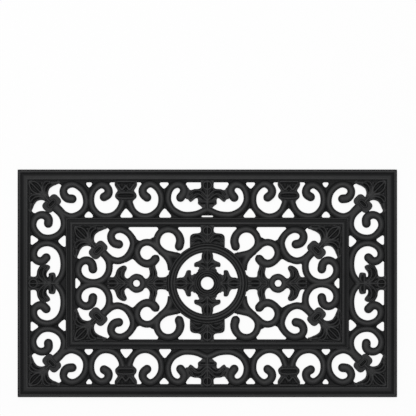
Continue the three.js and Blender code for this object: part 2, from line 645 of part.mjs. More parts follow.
function cornerSet({ corner, step, clipShare, leafShare, hookShare, neighbours }) {
  const placeFrom = (shiftShare) => ([across, along]) => [
    corner.x + ((along + shiftShare + across) * step) / Math.SQRT2,
    corner.y + ((along + shiftShare - across) * step) / Math.SQRT2,
  ];
  const clipMiddle = new THREE.Vector2(...placeFrom(clipShare)([0, 0]));
  const clipOutline = roundedOutline(CLIP_HALF_LENGTH, CLIP_HALF_WIDTH, CLIP_CORNER_RADIUS, clipMiddle);
  const slotOutline = roundedOutline(CLIP_SLOT_LENGTH / 2, CLIP_SLOT_WIDTH / 2, CLIP_SLOT_WIDTH / 2, clipMiddle);
  const clip = ornament({
    outline: clipOutline,
    top: CLIP_TOP,
    pockets: [plate(slotOutline, MAT_THICKNESS + OVERRUN, GROUND_TOP)],
  });
  const leafOutline = [
    ...leafEdgeShares.map(placeFrom(hookShare)),
    ...leafHeelShares.map(placeFrom(0)),
    ...flipped(leafEdgeShares).reverse().map(placeFrom(hookShare)),
  ];
  const leaf = ornament({
    outline: leafOutline,
    ribs: [...ribsOf(hookRibShares, placeFrom(hookShare)), ...ribsOf(leafRibShares, placeFrom(leafShare))],
    neighbours: [...neighbours, seatOf(clipOutline)],
  });
  return { clip, leaf, clipSeat: seatOf(clipOutline), leafSeat: seatOf(leafOutline) };
}

const ROUND_STEPS = 2;

// A rounded rectangle whose long side lies across the diagonal of the first quadrant.
function roundedOutline(halfLongSide, halfShortSide, radius, middle) {
  const outline = [];
  for (let quarter = 0; quarter < 4; quarter++) {
    const sideX = quarter === 0 || quarter === 3 ? 1 : -1;
    const sideY = quarter < 2 ? 1 : -1;
    for (let step = 0; step <= ROUND_STEPS; step++) {
      const angle = (quarter + step / ROUND_STEPS) * (Math.PI / 2);
      const corner = new THREE.Vector2(
        sideX * (halfLongSide - radius) + radius * Math.cos(angle),
        sideY * (halfShortSide - radius) + radius * Math.sin(angle),
      );
      corner.rotateAround(new THREE.Vector2(), -Math.PI / 4).add(middle);
      outline.push([corner.x, corner.y]);
    }
  }
  return outline.filter(([x, y], i) => {
    const [px, py] = outline[(i + outline.length - 1) % outline.length];
    return Math.hypot(x - px, y - py) > SEAM;
  });
}

const borderCorner = cornerSet({
  corner: outerOpening,
  step: bandStep,
  clipShare: -58.5,
  leafShare: 0,
  hookShare: 0,
  neighbours: [outerSeat],
});
const fieldCorner = cornerSet({
  corner: innerOpening,
  step: fieldStep,
  clipShare: -63.3,
  leafShare: -9,
  hookShare: -2.5,
  neighbours: [innerSeat],
});

// Field palmette: a bud over two ribbed lobes, between the medallion and the inner frame.
const fieldPlace = ([x, y]) => [x * fieldStep, y * fieldStep];
const fieldEdgeShares = [
  [30, 62], [41, 66.5], [37.5, 73], [35.8, 80], [35.5, 88], [33.5, 93.5], [25, 98], [14.8, 102], [12.7, 106],
  [12.7, 117],
];
const fieldRibShares = [
  bud(BUD_SHARES.field),
  { shares: [[0, 76], [0, 117]], steps: 1 },
  { shares: [[8, 87], [14, 93.5], [21, 96], [28, 93.5], [34, 79]], steps: 4, pair: true },
];
const fieldPalmette = ornament({
  outline: bothSides(fieldEdgeShares).map(fieldPlace),
  ribs: ribsOf(fieldRibShares, fieldPlace),
  neighbours: [innerSeat, ringSeat],
});

// Spray: a bud between two short hooks, from the boss out to the ring.
const sprayEdgeShares = [
  [17.5, 22], [19, 25.5], [16.3, 29.5], [17, 32], [25, 32.5], [26.3, 36], [25, 40.5], [15.5, 45], [12, 48.5],
  [11.5, 55], [10.3, 60], [11, 66],
];
const sprayRibShares = [
  { shares: [[0, 66], [5.2, 58], [5.6, 50], [0, 43], [-5.6, 50], [-5.2, 58]], steps: 6, closed: true },
  { shares: [[0, 26], [0, 66]], steps: 1 },
];
const spray = ornament({
  outline: bothSides(sprayEdgeShares).map(fieldPlace),
  ribs: ribsOf(sprayRibShares, fieldPlace),
  neighbours: [ringSeat, bossSeat],
});

// Side rosette: a bored boss between two buds, with a pair of horns on each side of it.
const rosettePlace = ([y, x]) => [ringRadius + x * rosetteStep, y * fieldStep];
const rosetteEdgeShares = [
  [17, -6], [16, 0], [13.2, 3], [12.1, 9], [12.1, 15.5], [13.8, 19.2], [21, 20], [31, 23.2], [40, 25], [40, 38],
  [31, 37], [21, 35], [15, 36], [10.8, 39], [9.2, 42], [10.2, 45], [15, 49], [18.3, 56], [18.8, 64], [15, 71.5],
  [11, 76], [9.8, 79.5], [12, 84], [20, 84], [29.5, 80], [34, 82], [35.3, 86], [33, 93], [27, 99.5], [15.5, 104],
  [12.3, 107.5], [13, 114], [15, 118],
];
const rosetteRibShares = [
  { shares: [[5, 1], [9.2, 9], [9, 17], [2.5, 33]], steps: 3, pair: true },
  { shares: [[36, 30], [23, 27], [15, 29], [8, 35], [4, 44]], steps: 3, pair: true },
  { shares: [[32.5, 85], [30, 91], [23, 94], [15, 93], [4, 78]], steps: 3, pair: true },
];
const ROSETTE_MIDDLE_SHARE = 61;
const ROSETTE_BORE_SHARE = 7;
const rosetteOutline = bothSides(rosetteEdgeShares).map(rosettePlace);
const rosetteMiddle = rosettePlace([0, ROSETTE_MIDDLE_SHARE]);
const rosetteBoreRadius = ROSETTE_BORE_SHARE * fieldStep;
const rosetteRingRadius = rosetteBoreRadius + RIB_WIDTH;
const rosetteRing = circleShares.map((share) =>
  share.map((u, axis) => rosetteMiddle[axis] + u * rosetteRingRadius),
);
const rosette = ornament({
  outline: rosetteOutline,
  ribs: [rib(rosetteRing, circleShares.length, true), ...ribsOf(rosetteRibShares, rosettePlace)],
  pockets: [disc(rosetteBoreRadius, BORE_STEPS, rosetteMiddle)],
  neighbours: [ringSeat],
});
const rosetteSeat = seatOf(rosetteOutline);

// Scroll sections: bars and webs joined, kept to their own cell and cut clear of what they seat on.

const tall = [-OVERRUN, MAT_THICKNESS + OVERRUN];
const far = MAT_LENGTH;
const gap = SEAM / 2;

function scrollSection(solids, neighbours, xs, ys) {
  return cutBy(joined(solids), neighbours).intersect(block(xs, ys, tall));
}

// A scroll of the border in its box, with the web to the frame's lip if it has one.
function borderScroll(shares, xs, ys, lipShares) {
  const scroll = bar(inBox(shares, xs, ys));
  return lipShares ? scroll.add(web(inBox(lipShares, xs, ys))) : scroll;
}

const fieldScroll = (shares, root = []) => bar([...root, ...inField(shares)], FIELD_BAR_WIDTH);

const palmetteHalf = [
  borderScroll(palmetteScrollShares, [0, contacts.palmetteToLyre - halfBar], rowLine, palmetteLipShares),
  rowWebs.palmetteToLyre,
  highWebs.palmetteToLyre,
];
const palmettePair = scrollSection(
  [...palmetteHalf, ...palmetteHalf.map((solid) => mirrored(solid, -1, 1)), rowStemWeb],
  [innerSeat, outerSeat, palmetteSeat],
  [-contacts.palmetteToLyre + gap, contacts.palmetteToLyre - gap],
  [0, far],
);
const lyre = scrollSection(
  [
    borderScroll(lyreNearShares, [contacts.palmetteToLyre + halfBar, contacts.vase - halfBar], rowLine),
    borderScroll(lyreFarShares, [contacts.vase + halfBar, contacts.lyreToCorner - halfBar], rowLine),
    ...Object.values(rowWebs),
    ...Object.values(highWebs),
  ],
  [innerSeat, outerSeat, vaseSeat],
  [contacts.palmetteToLyre + gap, contacts.lyreToCorner - gap],
  [0, far],
);
const cornerRowSpan = [contacts.lyreToCorner + halfBar, cornerScrollEnd - halfBar];
const cornerColumnSpan = [contacts.side + halfBar, cornerColumnEnd - halfBar];
const cornerScrolls = scrollSection(
  [
    borderScroll(cornerRowShares, cornerRowSpan, rowLine, cornerLipShares),
    borderScroll(cornerColumnShares, columnLine, cornerColumnSpan, columnLipShares),
    rowWebs.lyreToCorner,
    highWebs.lyreToCorner,
    sideLowWeb,
    sideHighWeb,
    cornerTrunkWeb,
  ],
  [innerSeat, outerSeat, borderCorner.clipSeat, borderCorner.leafSeat],
  [contacts.lyreToCorner + gap, far],
  [contacts.side + gap, far],
);
const sideHalf = [
  borderScroll(sideScrollShares, columnLine, [0, contacts.side - halfBar], sideLipShares),
  sideLowWeb,
  sideHighWeb,
];
const sidePair = scrollSection(
  [...sideHalf, ...sideHalf.map((solid) => mirrored(solid, 1, -1)), sideStemWeb],
  [innerSeat, outerSeat, sidePalmetteSeat],
  [0, far],
  [-contacts.side + gap, contacts.side - gap],
);
const fieldScrolls = scrollSection(
  [fieldScroll(fieldUpperShares), fieldScroll(fieldLowerShares), touchWeb, ...cornerWebs],
  [innerSeat, fieldCorner.clipSeat, fieldCorner.leafSeat, rosetteSeat],
  [fieldContact + gap, far],
  [gap, far],
);
const fieldHooks = scrollSection(
  [
    fieldScroll(upperHookShares, [onRing(UPPER_ROOT_ANGLE)]),
    fieldScroll(lowerHookShares, [onRing(LOWER_ROOT_ANGLE)]),
    touchWeb,
    ...hookWebs,
  ],
  [innerSeat, ringSeat, rosetteSeat],
  [0, fieldContact - gap],
  [gap, far],
);

// Grip studs under the frames, the ring and the boss

const STUD_SIDES = 6;
const STUDS_ALONG = 4;
const STUDS_ACROSS = 3;
const RING_STUDS = 4;
const BOSS_STUDS = 3;

const stud = ([x, y]) => disc(STUD_RADIUS, STUD_SIDES, [x, y], STUD_HEIGHT + SEAM, 0);

function rowOfStuds(half, inset) {
  const places = [];
  for (let i = 0; i < STUDS_ALONG; i++) {
    const x = (half.x - inset) * ((2 * i) / (STUDS_ALONG - 1) - 1);
    places.push([x, half.y - inset], [x, inset - half.y]);
  }
  for (let i = 1; i < STUDS_ACROSS - 1; i++) {
    const y = (half.y - inset) * ((2 * i) / (STUDS_ACROSS - 1) - 1);
    places.push([half.x - inset, y], [inset - half.x, y]);
  }
  return places.map(stud);
}

function circleOfStuds(radius, count) {
  return Array.from({ length: count }, (unused, i) => {
    const angle = (i / count) * 2 * Math.PI;
    return stud([radius * Math.cos(angle), radius * Math.sin(angle)]);
  });
}

const outerFrame = joined([
  framed(edge, CORNER_RADIUS, frameProfile(OUTER_FRAME_WIDTH, OUTER_RAIL_WIDTH)),
  ...rowOfStuds(edge, OUTER_FRAME_WIDTH / 2),
]);
const innerFrame = joined([
  framed(innerEdge, 0, frameProfile(INNER_FRAME_WIDTH, INNER_RAIL_WIDTH)),
  ...rowOfStuds(innerEdge, INNER_FRAME_WIDTH / 2),
]);
const studdedRing = joined([ring, ...circleOfStuds(ringRadius - ringWidth / 2, RING_STUDS)]);
const studdedBoss = joined([boss, ...circleOfStuds((bossRadius + bossBoreRadius) / 2, BOSS_STUDS)]);

// The mat

const mat = new THREE.Group();
const rubber = { color: 0x17181a, roughness: 0.82, metalness: 0 };

function addSection(name, solid) {
  const mesh = new THREE.Mesh(geometryOf(solid), new THREE.MeshStandardMaterial(rubber));
  mesh.name = name;
  mat.add(mesh);
}

function addQuartered(name, solid) {
  for (const [sideX, x] of [["right", 1], ["left", -1]]) {
    for (const [sideY, y] of [["back", 1], ["front", -1]]) {
      addSection([name, sideY, sideX].join("_"), mirrored(solid, x, y));
    }
  }
}

function addBackAndFront(name, solid) {
  addSection(name + "_back", solid);
  addSection(name + "_front", mirrored(solid, 1, -1));
}

function addLeftAndRight(name, solid) {
  addSection(name + "_right", solid);
  addSection(name + "_left", mirrored(solid, -1, 1));
}

const quarterTurn = new THREE.Matrix4().makeRotationZ(-Math.PI / 2);
const sideSpray = solidOf(geometryOf(spray).applyMatrix4(quarterTurn));

addSection("outer_frame", outerFrame);
addSection("inner_frame", innerFrame);
addSection("border_scroll_pair_back", palmettePair.subtract(stemSlot));
addSection("border_scroll_pair_front", mirrored(palmettePair, 1, -1));
addLeftAndRight("border_scroll_pair", sidePair);
addBackAndFront("border_palmette", palmette);
addLeftAndRight("border_palmette", sidePalmette);
addQuartered("border_lyre", lyre);
addQuartered("border_vase", vase);
addQuartered("border_corner_scrolls", cornerScrolls);
addQuartered("border_corner_leaf", borderCorner.leaf);
addQuartered("border_corner_clip", borderCorner.clip);
addQuartered("field_corner_scrolls", fieldScrolls);
addQuartered("field_corner_leaf", fieldCorner.leaf);
addQuartered("field_corner_clip", fieldCorner.clip);
addQuartered("field_hooks", fieldHooks);
addBackAndFront("field_palmette", fieldPalmette);
addLeftAndRight("field_rosette", rosette);
addSection("medallion_ring", studdedRing);
addSection("medallion_boss", studdedBoss);
addBackAndFront("medallion_spray", spray);
addLeftAndRight("medallion_spray", sideSpray);

export default mat;
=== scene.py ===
import math

import bmesh
import bpy
from mathutils import Matrix, Vector
from mathutils.geometry import interpolate_bezier


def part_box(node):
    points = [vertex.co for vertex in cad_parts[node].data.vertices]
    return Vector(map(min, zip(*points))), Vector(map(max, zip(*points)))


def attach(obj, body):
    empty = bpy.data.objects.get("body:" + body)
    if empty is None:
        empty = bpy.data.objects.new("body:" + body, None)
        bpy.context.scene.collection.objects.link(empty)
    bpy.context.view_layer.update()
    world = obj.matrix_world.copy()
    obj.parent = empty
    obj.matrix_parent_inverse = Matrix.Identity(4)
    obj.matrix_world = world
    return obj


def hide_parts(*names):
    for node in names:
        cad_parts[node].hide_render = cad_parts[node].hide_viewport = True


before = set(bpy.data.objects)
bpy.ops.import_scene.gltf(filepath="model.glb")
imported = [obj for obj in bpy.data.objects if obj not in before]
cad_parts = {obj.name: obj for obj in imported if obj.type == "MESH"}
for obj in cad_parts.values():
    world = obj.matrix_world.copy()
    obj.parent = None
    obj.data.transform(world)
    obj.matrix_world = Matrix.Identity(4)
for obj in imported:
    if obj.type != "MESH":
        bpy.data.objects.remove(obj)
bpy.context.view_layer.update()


# Outer frame: the border that carries the whole mat, one ring of solid rubber with mitred corners.
# It is moulded with a round rail, a groove, a double-ridged band and a low lip, on short grip studs.

low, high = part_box("outer_frame")
OUTER_HALF = Vector((high[0], high[1]))
THICKNESS = high[2]
BASE = 0.001  # the grip studs lift the body off the floor
BODY_HEIGHT = THICKNESS - BASE
OUTER_FRAME_WIDTH = 0.0255
LIP_WIDTH = 0.004
CORNER_RADIUS = 0.004
STUD_RADIUS = 0.003
STUD_TIP_RADIUS = STUD_RADIUS * 0.86
STUD_LENGTH = BASE * 1.2  # a little more than the gap, so that it reaches into the body
STUD_SPACING = 0.036
MERGE_DISTANCE = 0.00001
CREASE_ANGLE = math.radians(50)

# Profile of the outer frame, each place as (in from the edge, above the floor)
OUTER_PROFILE = [
    (0.0, 0.001), (0.0, 0.0068), (0.0004, 0.0082), (0.0014, 0.0094), (0.0028, 0.0099),
    (0.0046, 0.0099), (0.0058, 0.0093), (0.0065, 0.0080), (0.0069, 0.0058), (0.0077, 0.0054),
    (0.0085, 0.0058), (0.0100, 0.0074), (0.0122, 0.0086), (0.0140, 0.0088), (0.0154, 0.0090),
    (0.0174, 0.0096), (0.0190, 0.0095), (0.0202, 0.0087), (0.0211, 0.0072), (0.0216, 0.0053),
    (0.0230, 0.0050), (0.0247, 0.0049), (0.0254, 0.0043), (0.0255, 0.001),
]


def add_node(nodes, kind, values=None, operation=None):
    """A shader node, with its operation and the values of its inputs set."""
    node = nodes.new("ShaderNode" + kind)
    if operation:
        node.operation = operation
    for name, value in (values or {}).items():
        node.inputs[name].default_value = value
    return node


def rubber_material():
    """Black rubber with painted shade: paler on the crowns and darker in the hollows by height, mottled
    in random patches, with a fine moulded grain.
    """
    material = bpy.data.materials.new("black_rubber")
    material.use_nodes = True
    nodes = material.node_tree.nodes
    links = material.node_tree.links
    shader = nodes["Principled BSDF"]
    place = add_node(nodes, "TexCoord")
    height = add_node(nodes, "SeparateXYZ")
    links.new(place.outputs["Object"], height.inputs[0])

    patches = add_node(nodes, "TexNoise", {"Scale": 24.0, "Detail": 5.0})
    links.new(place.outputs["Object"], patches.inputs["Vector"])
    swells = add_node(nodes, "TexNoise", {"Scale": 95.0, "Detail": 2.0})
    links.new(place.outputs["Object"], swells.inputs["Vector"])
    grain = add_node(nodes, "TexNoise", {"Scale": 1900.0, "Detail": 3.0})
    links.new(place.outputs["Object"], grain.inputs["Vector"])

    # Painted shade: the colour darkens the lower the surface lies, so the hollows look shaded; random
    # patches mottle it.
    height_shade = add_node(nodes, "MapRange", {"From Min": 0.0036, "From Max": 0.0096, "To Max": 0.8})
    links.new(height.outputs["Z"], height_shade.inputs["Value"])
    shade_and_mottle = add_node(nodes, "Math", {1: 0.22}, operation="MULTIPLY_ADD")
    links.new(patches.outputs["Fac"], shade_and_mottle.inputs[0])
    links.new(height_shade.outputs["Result"], shade_and_mottle.inputs[2])
    colour = add_node(nodes, "ValToRGB")
    colour.color_ramp.elements[0].position = 0.1
    colour.color_ramp.elements[0].color = (0.0082, 0.0084, 0.0088, 1.0)
    colour.color_ramp.elements[1].position = 0.95
    colour.color_ramp.elements[1].color = (0.0182, 0.0184, 0.0190, 1.0)
    links.new(shade_and_mottle.outputs[0], colour.inputs["Fac"])
    links.new(colour.outputs["Color"], shader.inputs["Base Color"])

    dullness = add_node(nodes, "MapRange", {"To Min": 0.52, "To Max": 0.38})
    links.new(patches.outputs["Fac"], dullness.inputs["Value"])
    links.new(dullness.outputs["Result"], shader.inputs["Roughness"])
    sheen = add_node(
        nodes, "MapRange", {"From Min": 0.0045, "From Max": 0.0092, "To Min": 0.035, "To Max": 0.11}
    )
    links.new(height.outputs["Z"], sheen.inputs["Value"])
    links.new(sheen.outputs["Result"], shader.inputs["Specular IOR Level"])

    wave = add_node(nodes, "Bump", {"Strength": 0.35, "Distance": 0.0009})
    links.new(swells.outputs["Fac"], wave.inputs["Height"])
    bump = add_node(nodes, "Bump", {"Strength": 0.28, "Distance": 0.0002})
    links.new(grain.outputs["Fac"], bump.inputs["Height"])
    links.new(wave.outputs["Normal"], bump.inputs["Normal"])
    links.new(bump.outputs["Normal"], shader.inputs["Normal"])
    return material


RUBBER = rubber_material()


def lay(mesh, node):
    """Stands a finished mesh in for its section of the mat."""
    mesh.name = node + "_rubber"
    mesh.materials.clear()
    mesh.materials.append(RUBBER)
    mesh.shade_smooth()
    mesh.set_sharp_from_angle(angle=CREASE_ANGLE)
    piece = bpy.data.objects.new(node + "_rubber", mesh)
    bpy.context.scene.collection.objects.link(piece)
    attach(piece, "root")
    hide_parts(node)
    return piece


def mesh_of(mould):
    """Turns a finished bmesh into a mesh whose faces point outwards."""
    bmesh.ops.recalc_face_normals(mould, faces=mould.faces)
    mesh = bpy.data.meshes.new("section")
    mould.to_mesh(mesh)
    mould.free()
    return mesh


def add_mirrored(mould, axis, merge_distance=0):
    """Adds the mirror image of all that a mould holds."""
    everything = mould.verts[:] + mould.edges[:] + mould.faces[:]
    bmesh.ops.mirror(mould, geom=everything, axis=axis, merge_dist=merge_distance)


def at_corner(vert, half):
    """Whether a vertex lies on one of the four outer corner edges."""
    return abs(abs(vert.co.x) - half.x) + abs(abs(vert.co.y) - half.y) < MERGE_DISTANCE


def mitred_frame(half, profile, corner_radius):
    """Carries a profile from the middle of a long side round one corner, and mirrors it twice."""
    mould = bmesh.new()
    ends = [mould.verts.new((0, half.y - inset, z)) for inset, z in profile]
    edges = [mould.edges.new((a, b)) for a, b in zip(ends, ends[1:] + ends[:1])]
    to_corner = Matrix(((0, 1, 0, half.x - half.y), (0, 1, 0, 0), (0, 0, 1, 0), (0, 0, 0, 1)))
    to_side = Matrix(((1, 0, 0, 0), (0, 0, 0, 0), (0, 0, 1, 0), (0, 0, 0, 1)))
    for step in (to_corner, to_side):
        carried = bmesh.ops.extrude_edge_only(mould, edges=edges)["geom"]
        verts = [part for part in carried if isinstance(part, bmesh.types.BMVert)]
        edges = [part for part in carried if isinstance(part, bmesh.types.BMEdge)]
        edges = [edge for edge in edges if all(vert in verts for vert in edge.verts)]
        bmesh.ops.transform(mould, matrix=step, verts=verts)
    add_mirrored(mould, "X", MERGE_DISTANCE)
    add_mirrored(mould, "Y", MERGE_DISTANCE)
    if corner_radius:
        uprights = [edge for edge in mould.edges if all(at_corner(vert, half) for vert in edge.verts)]
        bmesh.ops.bevel(
            mould, geom=uprights, offset=corner_radius, segments=5, profile=0.5, affect="EDGES",
            material=-1,
        )
    return mould


def add_studs(mould, places):
    """Sets a short round grip stud under the body at each place."""
    for x, y in places:
        bmesh.ops.create_cone(
            mould, cap_ends=True, segments=16, radius1=STUD_TIP_RADIUS, radius2=STUD_RADIUS,
            depth=STUD_LENGTH, matrix=Matrix.Translation((x, y, STUD_LENGTH / 2)),
        )


def frame_stud_places(half, inset):
    """Places of a row of studs down the middle of a frame's four sides."""
    x, y = half.x - inset, half.y - inset
    along = round(2 * x / STUD_SPACING)
    across = round(2 * y / STUD_SPACING)
    rows = [(x * (2 * i / along - 1), side * y) for i in range(along + 1) for side in (1, -1)]
    columns = [(side * x, y * (2 * i / across - 1)) for i in range(1, across) for side in (1, -1)]
    return rows + columns


outer = mitred_frame(OUTER_HALF, OUTER_PROFILE, CORNER_RADIUS)
add_studs(outer, frame_stud_places(OUTER_HALF, OUTER_FRAME_WIDTH / 2))
lay(mesh_of(outer), "outer_frame")


# Inner frame: a narrower ring of the same moulding round the field, with sharp mitred corners.
# Its lips meet the scrolls of the border on the outside and those of the field on the inside.

low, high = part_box("inner_frame")
INNER_HALF = Vector((high[0], high[1]))
INNER_FRAME_WIDTH = 0.019
INNER_PROFILE = [
    (0.0, 0.001), (0.0, 0.0070), (0.0005, 0.0084), (0.0016, 0.0092), (0.0028, 0.0090),
    (0.0038, 0.0080), (0.0043, 0.0063), (0.0052, 0.0059), (0.0062, 0.0062), (0.0072, 0.0076),
    (0.0086, 0.0089), (0.0100, 0.0094), (0.0116, 0.0099), (0.0130, 0.0096), (0.0141, 0.0087),
    (0.0147, 0.0072), (0.0151, 0.0053), (0.0165, 0.0050), (0.0182, 0.0049), (0.0189, 0.0043),
    (0.0190, 0.001),
]

inner = mitred_frame(INNER_HALF, INNER_PROFILE, 0)
add_studs(inner, frame_stud_places(INNER_HALF, INNER_FRAME_WIDTH / 2))
lay(mesh_of(inner), "inner_frame")


# Border scrolls on the long sides: half-round bars that curl in to a domed ball, with low webs in
# the cusps where they touch. Each section is moulded with its bars, webs and fillets in one piece.

OUTER_OPENING = OUTER_HALF - Vector((OUTER_FRAME_WIDTH, OUTER_FRAME_WIDTH))
BAND_WIDTH = OUTER_OPENING.y - INNER_HALF.y
BAND_STEP = BAND_WIDTH / 70
BAR_WIDTH = 0.0130
BALL_WIDTH = 0.0178
TRUNK_WIDTH = 0.0175
VALLEY = 0.002
WEB_TOP = 0.0044
FILLET_RADIUS = 0.0013
SCROLL_VOXEL = 0.0011
SCROLL_SMOOTHING = 4
SLAB_VOXEL = 0.0013
BAR_SPACING = 0.002

# Shares of a bar's length: where it swells to its ball, and where it narrows and rises from its root
BALL_START = 0.68
BALL_LENGTH = 0.32
ROOT_LENGTH = 0.16
RISE_LENGTH = 0.12

# A bar's half-round section, in half widths and heights, and the dome that closes its end
BAR_SECTION = [
    (-1, 0), (1, 0), (1, 0.36), (0.95, 0.58), (0.82, 0.78), (0.58, 0.92), (0.3, 0.985), (0, 1),
    (-0.3, 0.985), (-0.58, 0.92), (-0.82, 0.78), (-0.95, 0.58), (-1, 0.36),
]
DOME_ANGLES = (20, 40, 58, 72, 83)
DOME_RIM_HEIGHT = 0.45

# The places where neighbouring scrolls touch, along the long and the short side
CORNER_SCROLL_END = OUTER_OPENING.x - 0.85 * BAND_WIDTH
CORNER_COLUMN_END = OUTER_OPENING.y - 0.83 * BAND_WIDTH
CONTACTS = {
    "palmette_to_lyre": 0.2912 * CORNER_SCROLL_END,
    "vase": 0.5548 * CORNER_SCROLL_END,
    "lyre_to_corner": 0.8081 * CORNER_SCROLL_END,
    "side": 0.6007 * CORNER_COLUMN_END,
}
HALF_BAR = BAR_WIDTH / 2
ROW_LINE = (INNER_HALF.y + HALF_BAR, OUTER_OPENING.y + LIP_WIDTH - VALLEY - HALF_BAR)
COLUMN_LINE = (INNER_HALF.x + HALF_BAR, OUTER_OPENING.x + LIP_WIDTH - VALLEY - HALF_BAR)


def in_box(shares, xs, ys):
    """Shares of a box as places on the mat."""
    return [Vector((xs[0] + u * (xs[1] - xs[0]), ys[0] + v * (ys[1] - ys[0]), 0)) for u, v in shares]


def smooth_route(places, spacing, closed=False):
    """Points about a spacing apart on a smooth curve through the places."""
    count = len(places)
    points = []
    for i in range(count if closed else count - 1):
        start, end = places[i], places[(i + 1) % count]
        before = places[i - 1] if closed or i > 0 else start
        after = places[(i + 2) % count] if closed or i < count - 2 else end
        reach = (end - start).length / 3
        lean_in = (end - before).normalized() * reach
        lean_out = (after - start).normalized() * reach
        steps = max(2, round((end - start).length / spacing) + 1)
        points += interpolate_bezier(start, start + lean_in, end - lean_out, end, steps)[:-1]
    return points if closed else points + [places[-1]]


def station(at, heading, half, height, foot):
    """Where and how large a bar's section stands at one point of its route."""
    turn = Matrix.Rotation(math.atan2(heading.y, heading.x), 4, "Z")
    return Matrix.Translation(at + Vector((0, 0, foot))) @ turn @ Matrix.Diagonal((1, half, height, 1))


def sweep(mould, route, half_at, height_at, foot=BASE, domed_start=False, section=BAR_SECTION):
    """Extrudes a section along a route and closes its end in a dome."""
    last = len(route) - 1
    stations = []
    for i, at in enumerate(route):
        heading = (route[min(i + 1, last)] - route[max(i - 1, 0)]).normalized()
        stations.append(station(at, heading, half_at(i / last), height_at(i / last), foot))
    ends = [(0, -1)] if domed_start else []
    for end, way in ends + [(last, 1)]:
        heading = (route[min(end + 1, last)] - route[max(end - 1, 0)]).normalized()
        half, height = half_at(end / last), height_at(end / last)
        dome = []
        for angle in DOME_ANGLES:
            forward = half * math.sin(math.radians(angle)) * way
            narrow = math.cos(math.radians(angle))
            at = route[end] + heading * forward
            low_height = height * (DOME_RIM_HEIGHT + (1 - DOME_RIM_HEIGHT) * narrow)
            dome.append(station(at, heading, half * narrow, low_height, foot))
        stations = stations + dome if way > 0 else dome[::-1] + stations
    verts = [mould.verts.new(stations[0] @ Vector((0, u, v))) for u, v in section]
    edges = mould.faces.new(verts).edges[:]
    for here, there in zip(stations, stations[1:]):
        carried = bmesh.ops.extrude_edge_only(mould, edges=edges)["geom"]
        verts = [part for part in carried if isinstance(part, bmesh.types.BMVert)]
        edges = [part for part in carried if isinstance(part, bmesh.types.BMEdge)]
        edges = [edge for edge in edges if all(vert in verts for vert in edge.verts)]
        bmesh.ops.transform(mould, matrix=there @ here.inverted(), verts=verts)
    bmesh.ops.edgeloop_fill(mould, edges=edges)


def add_bar(mould, slab, places, width=BAR_WIDTH, root_width=0, root_height=1.0):
    """A scroll bar that swells into a domed ball at its last place, and its print in the low slab."""

    def half_at(share):
        swell = min(max((share - BALL_START) / BALL_LENGTH, 0), 1)
        root = max(root_width - width, 0) * max(1 - share / ROOT_LENGTH, 0) ** 2
        return (width + (BALL_WIDTH - width) * swell * swell * (3 - 2 * swell) + root) / 2

    def height_at(share):
        return BODY_HEIGHT * min(1, root_height + (1 - root_height) * share / RISE_LENGTH)

    route = smooth_route(places, BAR_SPACING)
    sweep(mould, route, half_at, height_at)
    sweep(slab, route, half_at, lambda share: WEB_TOP - BASE)


def add_plate(mould, outline, top, base=BASE):
    """A flat plate with the given outline, from the body's underside to a height."""
    face = mould.faces.new([mould.verts.new((place[0], place[1], base)) for place in outline])
    raised = bmesh.ops.extrude_face_region(mould, geom=[face])["geom"]
    verts = [part for part in raised if isinstance(part, bmesh.types.BMVert)]
    bmesh.ops.translate(mould, vec=(0, 0, top - base), verts=verts)


def add_strip(mould, xs, ys):
    """A straight low strip, for the edge of a frame that the slab's corners are rounded against."""
    add_plate(mould, [(xs[0], ys[0]), (xs[1], ys[0]), (xs[1], ys[1]), (xs[0], ys[1])], WEB_TOP)


def band_places(x, shares):
    """Border drawing on a long side: across from x, and out from the inner frame, in band steps."""
    return [Vector((x + across * BAND_STEP, INNER_HALF.y + up * BAND_STEP, 0)) for across, up in shares]


def shaped(mesh, steps):
    """Runs a mesh through modifiers, each given as its kind and its settings, and returns the result."""
    blank = bpy.data.objects.new("blank", mesh)
    bpy.context.scene.collection.objects.link(blank)
    for kind, settings in steps:
        modifier = blank.modifiers.new(kind.lower(), kind)
        for name, value in settings.items():
            setattr(modifier, name, value)
    ready = blank.evaluated_get(bpy.context.evaluated_depsgraph_get())
    result = bpy.data.meshes.new_from_object(ready)
    bpy.data.objects.remove(blank)
    return result


def moulded(mould, voxel, smoothing):
    """Fuses overlapping bars, ribs and plates into one skin, and eases its edges as a mould does."""
    return shaped(mesh_of(mould), [
        ("REMESH", {"mode": "VOXEL", "voxel_size": voxel}),
        ("SMOOTH", {"factor": 0.5, "iterations": smoothing}),
    ])


def moulded_scrolls(bars, slab):
    """Rounds the inner corners of the low slab by growing and shrinking it, and moulds the bars to it."""
    steps = []
    for reach in (FILLET_RADIUS, -FILLET_RADIUS):
        steps.append(("REMESH", {"mode": "VOXEL", "voxel_size": SLAB_VOXEL}))
        steps.append(("DISPLACE", {"strength": reach, "mid_level": 0.0}))
    bars.from_mesh(shaped(mesh_of(slab), steps))
    return moulded(bars, SCROLL_VOXEL, SCROLL_SMOOTHING)


def cut(mesh, tool_mould, folded=False):
    """Takes one solid out of another; folded allows for a tool that overlaps itself."""
    tool = bpy.data.objects.new("tool", mesh_of(tool_mould))
    bpy.context.scene.collection.objects.link(tool)
    result = shaped(mesh, [("BOOLEAN", {"object": tool, "operation": "DIFFERENCE", "use_self": folded})])
    bpy.data.objects.remove(tool)
    return result


def trimmed(mesh, planes):
    """Cuts a mesh off flat at each plane, given as a point and the way out, and closes the cuts."""
    mould = bmesh.new()
    mould.from_mesh(mesh)
    for point, outwards in planes:
        everything = mould.verts[:] + mould.edges[:] + mould.faces[:]
        bmesh.ops.bisect_plane(
            mould, geom=everything, dist=0.000001, plane_co=point, plane_no=outwards, clear_outer=True,
        )
        bmesh.ops.holes_fill(mould, edges=[edge for edge in mould.edges if edge.is_boundary], sides=0)
    return mesh_of(mould)


